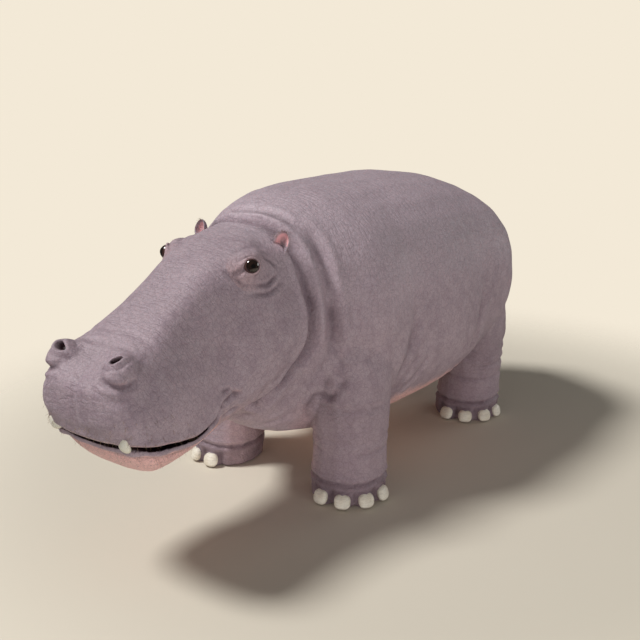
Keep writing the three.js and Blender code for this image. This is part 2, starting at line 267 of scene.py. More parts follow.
def near_chain(points: np.ndarray, chain: list[Vector]) -> tuple[np.ndarray, np.ndarray]:
    """How far each point is from a chain, and where along it is nearest.

    Args:
        points: the points to measure.
        chain: the corners of the chain, in order.

    Returns:
        The distances, and the nearest places as shares of the chain from 0 to 1.
    """
    corners = np.array(chain)
    best = np.full(len(points), np.inf)
    along = np.zeros(len(points))
    for i, (start, end) in enumerate(zip(corners[:-1], corners[1:])):
        span = end - start
        share = np.clip((points - start) @ span / max(span @ span, 1e-12), 0, 1)
        distance = np.linalg.norm(points - start - share[:, None] * span, axis=1)
        closer = distance < best
        best[closer] = distance[closer]
        along[closer] = (i + share[closer]) / (len(corners) - 1)
    return best, along


def read_column(items: bpy.types.bpy_prop_collection, name: str) -> np.ndarray:
    """A three-number property of every item, as rows.

    Args:
        items: the items, such as the vertices of a mesh.
        name: the property to read.

    Returns:
        The numbers, one item in each row.
    """
    flat = np.empty(len(items) * 3, np.float32)
    items.foreach_get(name, flat)
    return flat.reshape(-1, 3).astype(float)


def only(piece: bpy.types.Object) -> None:
    """Makes a piece the one selected and active object.

    Args:
        piece: the piece to select.
    """
    bpy.ops.object.select_all(action="DESELECT")
    piece.select_set(True)
    bpy.context.view_layer.objects.active = piece


def apply_modifier(piece: bpy.types.Object, kind: str, **settings: object) -> None:
    """Adds a modifier with its settings and applies it at once.

    Args:
        piece: the piece to change.
        kind: the type of the modifier.
        **settings: the settings of the modifier by name.
    """
    only(piece)
    modifier = piece.modifiers.new(kind, kind)
    for name, value in settings.items():
        setattr(modifier, name, value)
    bpy.ops.object.modifier_apply(modifier=modifier.name)


def new_ball(around: int, rings: int, radius: float = 1.0) -> bpy.types.Object:
    """A ball at the origin, to be shaped.

    Args:
        around: how many faces run round it.
        rings: how many bands it has from pole to pole.
        radius: its radius.

    Returns:
        The ball.
    """
    bpy.ops.object.select_all(action="DESELECT")
    bpy.ops.mesh.primitive_uv_sphere_add(segments=around, ring_count=rings, radius=radius)
    return bpy.context.active_object


def keep_values(piece: bpy.types.Object, name: str, columns: list[np.ndarray]) -> None:
    """Stores four values for each point as a colour attribute."""
    layer = piece.data.attributes.new(name, "FLOAT_COLOR", "POINT")
    layer.data.foreach_set("color", np.stack(columns, 1).astype(np.float32).ravel())


def finish_form(piece: bpy.types.Object, name: str) -> bpy.types.Object:
    """Shades a modelled piece smoothly and names it.

    Args:
        piece: the piece.
        name: what it is called.

    Returns:
        The same piece.
    """
    only(piece)
    bpy.ops.object.shade_smooth()
    piece.name = piece.data.name = name
    return piece


class Clay:
    """The points of a mesh and the way that each one faces, while the mesh is being shaped."""

    def __init__(self, piece: bpy.types.Object) -> None:
        """Takes up the points of a piece."""
        self.piece = piece
        self.take()

    def take(self) -> None:
        """Reads the points again."""
        self.at = read_column(self.piece.data.vertices, "co")
        self.out = read_column(self.piece.data.vertex_normals, "vector")

    def give(self) -> None:
        """Puts the shaped points back in the mesh."""
        flat = self.at.astype(np.float32).ravel()
        self.piece.data.vertices.foreach_set("co", flat)
        self.piece.data.update()
        self.take()

    def swell(self, rise: np.ndarray) -> None:
        """Moves every point outwards by its rise."""
        self.at += self.out * rise[:, None]
        self.give()

    def weigh(self, name: str, weight: np.ndarray) -> None:
        """Keeps a weight for every point as a vertex group.

        Args:
            name: what the group is called.
            weight: the weight of each point, from 0 to 1.
        """
        group = self.piece.vertex_groups.get(name) or self.piece.vertex_groups.new(name=name)
        steps = np.round(np.clip(weight, 0, 1) * 20).astype(int)
        for step in np.unique(steps):
            group.add(np.nonzero(steps == step)[0].tolist(), step / 20, "REPLACE")

    def soften(self, weight: np.ndarray, rounds: int, factor: float = 0.5) -> None:
        """Evens out the surface where its weight is high, and keeps its bulk.

        Args:
            weight: how strongly each point is evened, from 0 to 1.
            rounds: how many times each point moves towards its neighbours.
            factor: how far it moves each time.
        """
        self.weigh("soften", weight)
        before = self.at.copy()
        settings = {"factor": factor, "iterations": rounds, "vertex_group": "soften"}
        apply_modifier(self.piece, "SMOOTH", **settings)
        self.take()
        smooth = self.at.copy()
        # What was lost is evened out in the same way and given back, so nothing shrinks.
        self.at = before - smooth
        self.give()
        apply_modifier(self.piece, "SMOOTH", **settings)
        self.take()
        self.at = self.at + smooth
        self.give()

    def refine(self, near: np.ndarray) -> None:
        """Cuts the faces whose points are all near into four.

        Args:
            near: whether each point is near.
        """
        mesh = self.piece.data
        corners = np.empty(len(mesh.loops), np.int32)
        mesh.loops.foreach_get("vertex_index", corners)
        starts = np.empty(len(mesh.polygons), np.int32)
        mesh.polygons.foreach_get("loop_start", starts)
        chosen = np.logical_and.reduceat(near[corners], starts)
        only(self.piece)
        bpy.context.tool_settings.mesh_select_mode = (False, False, True)
        bpy.ops.object.mode_set(mode="EDIT")
        bpy.ops.mesh.select_all(action="DESELECT")
        bpy.ops.object.mode_set(mode="OBJECT")
        mesh.polygons.foreach_set("select", chosen)
        bpy.ops.object.mode_set(mode="EDIT")
        bpy.ops.mesh.subdivide(number_cuts=1)
        bpy.ops.object.mode_set(mode="OBJECT")
        self.take()


@dataclass(frozen=True)
class Swell:
    """A rise or a hollow in the flesh, alike on both sides."""

    at: tuple[float, float, float]
    reach: tuple[float, float, float]
    rise: float
    flat: float = 0.0  # share of the reach that rises in full

    def lift(self, places: np.ndarray) -> np.ndarray:
        """How far each place is lifted."""
        apart = (np.column_stack([np.abs(places[:, 0]), places[:, 1:]]) - self.at) / self.reach
        return self.rise * (1 - eased(np.linalg.norm(apart, axis=1), self.flat, 1.0))


@dataclass(frozen=True)
class Fold:
    """A crease in the hide between two soft rolls, along a line laid on the surface."""

    line: tuple[tuple[float, float, float], ...]
    width: float
    depth: float
    roll: float = 0.35
    on_head: bool = True
    blunt: bool = False  # a blunt fold keeps its depth to its ends

    def chains(self, stance: Stance, surface: BVHTree) -> list[list[Vector]]:
        """The fold's line on each side of the animal, laid on the surface.

        Args:
            stance: the axes of the head and body.
            surface: the hide that the line is laid on.

        Returns:
            One chain of points for each side.
        """
        place = stance.on_head if self.on_head else stance.on_body
        found = []
        for side in SIDES:
            rough = curve_through([place(side * x, y, z) for x, y, z in self.line])
            found.append([surface.find_nearest(point)[0] for point in rough])
        return found

    def rise(self, points: np.ndarray, stance: Stance, surface: BVHTree) -> np.ndarray:
        """How far the fold lifts or sinks each point.

        Args:
            points: the points of the hide.
            stance: the axes of the head and body.
            surface: the hide that the line is laid on.

        Returns:
            The rise of each point, below 0 in the crease.
        """
        total = np.zeros(len(points))
        for side, chain in zip(SIDES, self.chains(stance, surface)):
            reach = 4 * self.width
            corners = np.array(chain)
            low, high = corners.min(0) - reach, corners.max(0) + reach
            own = ((points > low) & (points < high)).all(1) & (side * points[:, 0] >= 0)
            near = np.nonzero(own)[0]
            distance, along = near_chain(points[near], chain)
            fade = 1.0 if self.blunt else np.sin(np.pi * np.clip(along, 0.001, 0.999)) ** 0.7
            crease = bump_at(distance, self.width)
            rolls = bump_at(distance - 2.1 * self.width, 0.95 * self.width)
            total[near] += self.depth * fade * (self.roll * rolls - crease)
        return total


# ------------------------------------------------------------------ the head's features


@dataclass(frozen=True)
class Lids:
    """The lids round one eye, drawn over the ball and melting into the flesh of the socket."""

    centre: Vector
    radius: float
    side: int
    reach_across: float = math.radians(78)  # half the slit, as seen from the middle of the ball
    reach_up: float = math.radians(66)
    reach_down: float = math.radians(58)
    roundness: float = 1.65
    thickness: float = 0.0034
    tuck: float = 0.006  # how far the flesh goes in behind the front of the ball
    low_rim: float = 0.0010
    high_rim: float = 0.0026

    def gaze(self) -> Vector:
        """The way that the eye looks."""
        return Vector((self.side * 0.76, -0.62, 0.2)).normalized()

    def axes(self) -> tuple[Vector, Vector]:
        """Along the slit towards the nose, and up across it.

        Returns:
            The two directions, each of length 1.
        """
        gaze = self.gaze()
        forward = Vector((-self.side * 0.35, -0.9, -0.22))
        along = (forward - gaze * forward.dot(gaze)).normalized()
        up = gaze.cross(along)
        return along, up if up.z > 0 else -up

    def shape(self, clay: Clay) -> np.ndarray:
        """Draws the lids in the clay.

        Args:
            clay: the hide, fine enough round the eye.

        Returns:
            How close each point is to the rim of the opening, from 0 to 1.
        """
        gaze = np.array(self.gaze())
        along, up = (np.array(axis) for axis in self.axes())
        away = clay.at - np.array(self.centre)
        reach = np.linalg.norm(away, axis=1)
        turned = away / np.maximum(reach, 1e-9)[:, None]
        across, rise = turned @ along, turned @ up
        angle = np.arccos(np.clip(turned @ gaze, -1, 1))
        tilt = np.arctan2(rise, across)
        height = np.where(rise > 0, self.reach_up, self.reach_down)
        upright = (np.abs(np.sin(tilt)) / height) ** self.roundness
        level = (np.abs(np.cos(tilt)) / self.reach_across) ** self.roundness
        over = (angle - (upright + level) ** (-1 / self.roundness)) * self.radius
        near = (reach < 3.0 * self.radius) & (over < 0.07)
        rim = eased(over, -0.001, 0.004)
        lid = self.radius - self.tuck + (self.tuck + self.thickness) * rim
        above = eased(rise, 0.0, 0.25)
        # The rims stand out, the upper one most, and the lids melt into the socket.
        lid = lid + (self.low_rim + self.high_rim * above) * bump_at(over - 0.008, 0.006)
        hold = 1 - eased(over, 0.010, 0.034 + 0.012 * above)
        target = np.where(over < 0.002, lid, np.maximum(reach, lid))
        moved = reach + (target - reach) * hold
        # A crease follows each lid, another lies below, and one runs from the inner corner.
        to_corner = np.hypot(angle * np.cos(tilt) - self.reach_across, angle * np.sin(tilt))
        moved -= (0.0034 * above + 0.0020) * bump_at(over - 0.017, 0.0035)
        moved -= 0.0026 * (1 - above) * bump_at(over - 0.029, 0.0045)
        moved -= 0.0030 * bump_at(to_corner - 0.10, 0.22) * bump_at(rise + 0.05, 0.12)
        clay.at[near] = np.array(self.centre) + turned[near] * moved[near, None]
        clay.give()
        return np.where(near, bump_at(np.maximum(over, 0) - 0.004, 0.018), 0)


@dataclass(frozen=True)
class Nostril:
    """One nostril: a curved slit in the top of a raised pad, with a swollen rim."""

    side: int
    across: float = 0.160
    along: float = 0.874
    up: float = 0.185
    half_length: float = 0.032
    half_width: float = 0.0165
    bend: float = 8.0
    depth: float = 0.032
    rim: float = 0.006
    facing: tuple[float, float, float] = (0.22, -0.34, 0.9)  # outwards, forwards and up the head
    backward: tuple[float, float, float] = (0.82, 0.55, 0.1)  # the way that the slit runs
    moat: float = 0.004
    reach: float = 0.085

    def shape(self, clay: Clay, stance: Stance, surface: BVHTree) -> np.ndarray:
        """Opens the nostril in the clay.

        Args:
            clay: the hide, fine enough round the nostril.
            stance: the axes of the head.
            surface: the hide before it is opened.

        Returns:
            How deep in the opening each point is, from 0 to 1.
        """
        place = stance.on_head(self.side * self.across, self.along, self.up)
        centre, _, _, _ = surface.find_nearest(place)
        axes, mirror = stance.head_axes(), Vector((self.side, 1, 1))
        facing = (axes @ (Vector(self.facing) * mirror)).normalized()
        back = axes @ (Vector(self.backward) * mirror)
        length = (back - facing * back.dot(facing)).normalized()
        width = facing.cross(length) * self.side
        away = clay.at - np.array(centre)
        a, b, c = (away @ np.array(axis) for axis in (length, width, facing))
        bent = b - self.bend * a * a
        open_by = np.hypot(a / self.half_length, bent / self.half_width)  # 1 at the edge
        near = (np.linalg.norm(away, axis=1) < self.reach) & (c > -0.05)
        sink = -self.depth * (1 - eased(open_by, 0.35, 1.1))
        swell = self.rim * bump_at(open_by - 1.55, 0.45)
        outer = -self.moat * bump_at(open_by - 2.9, 0.5)
        move = np.where(near, sink + swell + outer, 0)
        clay.at += move[:, None] * np.array(facing)
        clay.give()
        # This mark is used for painted shade in the opening.
        return np.where(near, 1 - eased(open_by, 0.6, 1.15), 0)


@dataclass(frozen=True)
class Lips:
    """The line of the mouth and the flesh along it."""

    line: tuple[tuple[float, float], ...] = (
        (0.575, -0.300),
        (0.630, -0.334),
        (0.710, -0.322),
        (0.800, -0.276),
        (0.900, -0.216),
        (1.000, -0.162),
        (1.140, -0.106),
    )
    drawn_up: tuple[tuple[float, float], ...] = (
        (0.70, 0.0),
        (0.77, -0.013),
        (0.87, -0.004),
        (0.95, 0.005),
        (1.01, 0.018),
        (1.14, 0.018),
    )
    gape: float = 0.018
    corner: float = 0.575
    upper_roll: float = 0.006
    lower_roll: float = 0.007
    groove: float = 0.007  # below the roll of the lower lip
    edge: float = 0.0015  # how far the rims are drawn apart
    tusk: tuple[float, float] = (0.204, 1.03)  # across and along the head
    sheath: float = 0.016  # of the gum round the tusk
    sheath_reach: float = 0.032
    corner_crease: float = 0.017

    def raised(self, head: np.ndarray) -> np.ndarray:
        """How much higher the dressed lips meet than the solids of the head and jaw."""
        along, up = np.array(self.drawn_up).T
        return np.interp(head[:, 1], along, up)

    def above(self, head: np.ndarray) -> np.ndarray:
        """How far each place on the head is above the line of the mouth."""
        along, up = np.array(self.line).T
        return head[:, 2] - np.interp(head[:, 1], along, up) - self.raised(head)

    def opening(self, head: np.ndarray) -> np.ndarray:
        """How far the lower lip has dropped at each place."""
        share = np.clip((head[:, 1] - self.corner) / (self.line[-1][0] - self.corner), 0, 1)
        return self.gape * np.sqrt(share)

    def shape(self, clay: Clay, stance: Stance) -> np.ndarray:
        """Rounds the lips and rolls the lower one outwards.

        Args:
            clay: the hide.
            stance: the axes of the head.

        Returns:
            How far inside the mouth each point is, from 0 to 1.
        """
        head = stance.measure_head(clay.at)
        above = self.above(head)
        opening = self.opening(head)
        front = eased(head[:, 1], self.corner - 0.01, self.corner + 0.12)
        up = np.array(stance.head_axes() @ Vector((0, 0, 1)))
        upright = np.abs(clay.out @ up)
        outer = 1 - eased(upright, 0.55, 0.9)
        upper = self.upper_roll * bump_at(above - 0.028, 0.016)
        lower = self.lower_roll * bump_at(above + opening + 0.024, 0.014)
        groove = -self.groove * bump_at(above + opening + 0.054, 0.013)
        across = np.abs(head[:, 0]) - self.tusk[0]
        sheath = bump_at(np.hypot(across, above + opening + 0.013), self.sheath_reach)
        sheath *= eased(head[:, 1], self.tusk[1] - 0.08, self.tusk[1] - 0.02)
        clay.swell((upper + lower + groove) * front * outer + self.sheath * sheath)
        off_gap = above + opening / 2
        apart = self.edge * np.sign(off_gap) * bump_at(np.abs(off_gap) - opening / 2, 0.012)
        clay.at += (apart * front)[:, None] * up
        clay.give()
        # Behind the gape the lips are closed, and only a crease parts them.
        closed = (1 - eased(head[:, 1], 0.65, 0.70)) * eased(head[:, 1], 0.565, 0.60)
        seam = closed * (1 - eased(upright, 0.8, 0.95))
        clay.swell(-self.corner_crease * bump_at(off_gap, 0.013) * seam)
        # This mark is used for painted shade inside the mouth and along the closed crease.
        inside = (above < 0.012) & (above > -opening - 0.012)
        inside = inside * eased(upright, 0.4, 0.75) * eased(head[:, 1], 0.64, 0.68)
        line = eased(bump_at(off_gap, 0.012), 0.5, 0.85) * eased(head[:, 1], 0.60, 0.68)
        return np.maximum(inside, line * closed)


@dataclass(frozen=True)
class Ear:
    """A short round ear, cupped forwards, on a stem that the hide closes round."""

    side: int
    root: tuple[float, float, float] = (0.232, -0.086, 0.024)
    height: float = 0.056
    width: float = 0.039
    middle: float = 0.040
    around: int = 48
    rings: int = 36

    def placing(self, stance: Stance) -> Matrix:
        """From the ear's own axes, with +Z along it and -Y out of its cup, to the model's.

        Args:
            stance: the axes of the head.

        Returns:
            The placing of the ear in the model.
        """
        turned = Euler((-0.60, self.side * 0.3, self.side * 0.08)).to_matrix()
        across, along, up = self.root
        place = stance.on_head(self.side * across, along, up)
        return Matrix.Translation(place) @ (stance.head_axes() @ turned).to_4x4()

    def build(self, stance: Stance) -> bpy.types.Object:
        """Models the ear from a sphere: a paddle with a dish in front and a narrow stem.

        Args:
            stance: the axes of the head.

        Returns:
            The ear, in its place.
        """
        ear = new_ball(self.around, self.rings)
        clay = Clay(ear)
        x, y, z = clay.at.T
        front = np.clip(-y, 0, 1)
        stem = eased(z, -0.25, -0.8)
        dish = 0.012 * eased(front, 0.3, 0.85) * (1 - stem)
        rim = -0.005 * np.sin(np.pi * np.clip(front / 0.32, 0, 1))
        leaf = np.where(y < 0, dish + rim, 0.026 * y) - 0.012 * x * x
        core = 0.024 * y
        # The ball becomes a leaf above and a round core in its stem.
        clay.at[:, 0] = self.width * x * (1 + 0.12 * z - 0.12 * z * z)
        clay.at[:, 1] = leaf * (1 - stem) + core * stem
        clay.at[:, 2] = self.middle + self.height * z - 0.035 * stem
        clay.give()
        ear.data.transform(self.placing(stance))
        ear.matrix_world = Matrix.Identity(4)
        return ear

    def inside(self, points: np.ndarray, out: np.ndarray, stance: Stance) -> np.ndarray:
        """How far each point is within the bare dish of the ear, from 0 to 1.

        Args:
            points: the points of the hide.
            out: the way that each point faces.
            stance: the axes of the head.

        Returns:
            The share of each point that is bare.
        """
        back = self.placing(stance).inverted()
        turn = np.array(back.to_3x3())
        local = points @ turn.T + np.array(back.translation)
        facing = out @ turn.T
        off = np.hypot(local[:, 0] / self.width, (local[:, 2] - self.middle) / self.height)
        near = (np.abs(local[:, 1]) < 0.03) * (1 - eased(off, 0.72, 0.90))
        return near * eased(-facing[:, 1], 0.1, 0.5) * eased(local[:, 2], 0.023, 0.035)

    def rootward(self, points: np.ndarray, stance: Stance) -> np.ndarray:
        """How near each point is to the seam between the stem and the head.

        Args:
            points: the points of the hide.
            stance: the axes of the head.

        Returns:
            1 at the seam, fading to 0 away from it.
        """
        across, along, up = self.root
        place = np.array(stance.on_head(self.side * across, along, up))
        return bump_at(np.linalg.norm(points - place, axis=1), 0.035)


# ------------------------------------------------------------------ the hide

HEAD_SWELLS = (
    Swell((0.222, 0.085, 0.085), (0.100, 0.130, 0.090), 0.012),  # socket of the eye
    Swell((0.205, -0.020, 0.105), (0.070, 0.060, 0.060), -0.008),  # dip between eye and ear
    Swell((0.168, 0.875, 0.150), (0.082, 0.090, 0.080), 0.014, flat=0.4),  # nostril pad
    Swell((0.205, 0.965, 0.080), (0.085, 0.065, 0.050), -0.010),  # below the pad
    Swell((0.000, 0.330, 0.170), (0.110, 0.240, 0.100), -0.010),  # dip of the nose
    Swell((0.170, 1.020, -0.030), (0.150, 0.140, 0.090), 0.010),  # cushions of the upper lip
    Swell((0.330, 0.100, -0.300), (0.160, 0.220, 0.200), 0.014),  # jowl
    Swell((0.270, 0.450, -0.130), (0.120, 0.170, 0.130), -0.010),  # hollow before the jowl
)

BODY_SWELLS = (
    Swell((0.56, 0.06, 0.92), (0.26, 0.22, 0.30), 0.012),  # shoulder
    Swell((0.52, 0.10, 0.66), (0.20, 0.20, 0.16), 0.010),  # upper arm
    Swell((0.58, 1.24, 0.86), (0.24, 0.26, 0.34), 0.012),  # haunch
    Swell((0.54, 1.46, 0.62), (0.20, 0.20, 0.22), 0.008),  # back of the thigh
)

HEAD_FOLDS = (
    # behind the jowl, from the nape down to the throat
    Fold(
        (
            (0.00, -0.160, 0.11),
            (0.10, -0.160, 0.09),
            (0.20, -0.160, 0.05),
            (0.277, -0.13, -0.036),
            (0.325, -0.085, -0.14),
            (0.352, -0.03, -0.26),
            (0.34, 0.06, -0.40),
            (0.28, 0.19, -0.47),
            (0.17, 0.32, -0.56),
        ),
        width=0.024,
        depth=0.027,
        roll=0.5,
        blunt=True,
    ),
    # a second roll of the neck
    Fold(
        (
            (0.20, -0.27, 0.06),
            (0.29, -0.25, -0.02),
            (0.36, -0.19, -0.18),
            (0.385, -0.13, -0.33),
            (0.36, -0.03, -0.5),
            (0.25, 0.1, -0.62),
        ),
        width=0.026,
        depth=0.020,
        roll=0.5,
    ),
    # across the throat
    Fold(((0.30, 0.30, -0.40), (0.2, 0.42, -0.53), (0.0, 0.45, -0.56)), 0.020, 0.013),
    Fold(((0.26, 0.22, -0.52), (0.14, 0.30, -0.60), (0.0, 0.32, -0.62)), 0.020, 0.010),
    # from the corner of the mouth up the cheek
    Fold(
        ((0.30, 0.640, -0.325), (0.29, 0.575, -0.300), (0.29, 0.520, -0.300), (0.30, 0.46, -0.34)),
        width=0.012,
        depth=0.014,
        roll=0.5,
    ),
    Fold(((0.28, 0.56, -0.24), (0.29, 0.51, -0.28), (0.30, 0.48, -0.34)), 0.011, 0.008),
    Fold(((0.27, 0.60, -0.38), (0.28, 0.55, -0.37), (0.29, 0.50, -0.40)), 0.011, 0.008),
    # behind and below the eye
    Fold(((0.27, 0.16, 0.015), (0.285, 0.10, -0.015), (0.285, 0.03, -0.015)), 0.010, 0.009),
    Fold(((0.26, 0.22, 0.01), (0.285, 0.11, -0.05), (0.29, 0.01, -0.055)), 0.012, 0.007),
    Fold(((0.25, 0.04, 0.10), (0.27, 0.01, 0.05), (0.285, 0.0, 0.0)), 0.010, 0.008),
    # under the brow, towards the nose
    Fold(((0.18, 0.22, 0.135), (0.225, 0.215, 0.09), (0.255, 0.19, 0.03)), 0.012, 0.008),
    # above the eye
    Fold(((0.16, 0.14, 0.15), (0.19, 0.06, 0.15), (0.22, -0.01, 0.10)), 0.012, 0.005),
    # across the nose behind the nostrils
    Fold(((0.0, 0.775, 0.14), (0.09, 0.775, 0.13), (0.16, 0.79, 0.12)), 0.012, 0.006),
    Fold(((0.0, 0.70, 0.14), (0.10, 0.70, 0.13), (0.19, 0.71, 0.08)), 0.013, 0.004),
    # below each nostril pad
    Fold(
        ((0.11, 0.94, 0.13), (0.165, 0.957, 0.125), (0.222, 0.934, 0.104), (0.238, 0.86, 0.088)),
        width=0.013,
        depth=0.014,
    ),
    # down the middle of the upper lip
    Fold(((0.0, 0.93, 0.12), (0.0, 1.00, 0.08), (0.0, 1.06, 0.02), (0.0, 1.11, -0.08)), 0.016, 0.0056),
    # across the neck, behind the ears
    Fold(((0.0, -0.25, 0.12), (0.13, -0.25, 0.09), (0.24, -0.24, 0.02)), 0.020, 0.012),
)

BODY_FOLDS = (
    # the front edge of the shoulder
    Fold(
        ((0.33, -0.19, 1.20), (0.42, -0.19, 0.99), (0.46, -0.18, 0.83), (0.46, -0.18, 0.66)),
        width=0.028,
        depth=0.017,
        on_head=False,
    ),
    # behind the shoulder and down into the armpit
    Fold(
        ((0.60, 0.32, 1.00), (0.60, 0.30, 0.80), (0.56, 0.26, 0.62), (0.52, 0.24, 0.50)),
        width=0.032,
        depth=0.016,
        on_head=False,
    ),
    Fold(((0.57, 0.37, 0.72), (0.56, 0.31, 0.60), (0.50, 0.28, 0.50)), 0.018, 0.010, on_head=False),
    Fold(((0.58, 0.45, 0.66), (0.54, 0.38, 0.54), (0.47, 0.31, 0.44)), 0.018, 0.009, on_head=False),
    # where the fore leg leaves the chest
    Fold(
        ((0.54, -0.18, 0.72), (0.42, -0.22, 0.58), (0.29, -0.20, 0.50), (0.20, -0.10, 0.44)),
        width=0.020,
        depth=0.013,
        on_head=False,
    ),
    # the flank, in front of the haunch
    Fold(
        ((0.62, 1.02, 0.94), (0.62, 0.97, 0.74), (0.57, 0.95, 0.58), (0.48, 0.98, 0.46)),
        width=0.034,
        depth=0.018,
        on_head=False,
    ),
    Fold(((0.62, 0.91, 0.72), (0.57, 0.88, 0.54), (0.46, 0.93, 0.40)), 0.020, 0.009, on_head=False),
    # across the chest
    Fold(((0.0, -0.36, 0.42), (0.15, -0.33, 0.43), (0.27, -0.25, 0.50)), 0.022, 0.009, on_head=False),
    # above the hock and round the rump
    Fold(((0.50, 1.58, 0.62), (0.57, 1.50, 0.50), (0.59, 1.40, 0.42)), 0.020, 0.009, on_head=False),
    Fold(((0.12, 1.80, 1.00), (0.18, 1.79, 0.86), (0.22, 1.72, 0.68)), 0.026, 0.010, on_head=False),
    # beside the tail
    Fold(
        (
            (0.072, 1.64, 1.22),
            (0.064, 1.70, 1.17),
            (0.056, 1.77, 1.09),
            (0.044, 1.80, 0.99),
            (0.034, 1.80, 0.88),
            (0.028, 1.79, 0.78),
            (0.024, 1.79, 0.72),
        ),
        width=0.012,
        depth=0.012,
        roll=0.2,
        on_head=False,
    ),
)

FLESH_LUMPS = Lumps(0.0034, 0.16, 5)
HIDE_LUMPS = Lumps(0.0018, 0.07, 6)
FOLD_WANDER = Lumps(0.3, 0.07, 3)  # a share of each fold's depth
PINK_EDGE = Lumps(0.016, 0.05, 11)
PINK_FLECKS = Lumps(0.01, 0.02, 12)
RING_WAVE = Lumps(0.011, 0.16, 8)


@dataclass(frozen=True)
class Ring:
    """A crease round a leg, broken here and there unless it is the one above the foot."""

    height: float
    depth: float
    width: float  # half the width of the crease
    seed: int = 0  # 0 where the ring runs on unbroken

    def rise(self, points: np.ndarray, wave: np.ndarray) -> np.ndarray:
        """How far the ring lifts or sinks each point.

        Args:
            points: the points of the hide.
            wave: how far the ring strays from its height at each point.

        Returns:
            The rise of each point, below 0 in the crease.
        """
        broken = 0.55 + 0.75 * soft_noise(points, 0.14, self.seed) if self.seed else 1.0
        off = points[:, 2] - self.height - (1.0 if self.seed else 0.25) * wave
        rolls = bump_at(np.abs(off) - 2 * self.width, self.width)
        return self.depth * broken * (0.5 * rolls - bump_at(off, self.width))


CUFF = Ring(0.118, 0.010, 0.011)
FORE_RINGS = (
    CUFF,
    Ring(0.27, 0.005, 0.012, 21),
    Ring(0.33, 0.006, 0.012, 22),
    Ring(0.50, 0.006, 0.018, 23),
)
HIND_RINGS = (
    CUFF,
    Ring(0.26, 0.005, 0.012, 21),
    Ring(0.34, 0.006, 0.013, 22),
    Ring(0.40, 0.005, 0.013, 23),
)


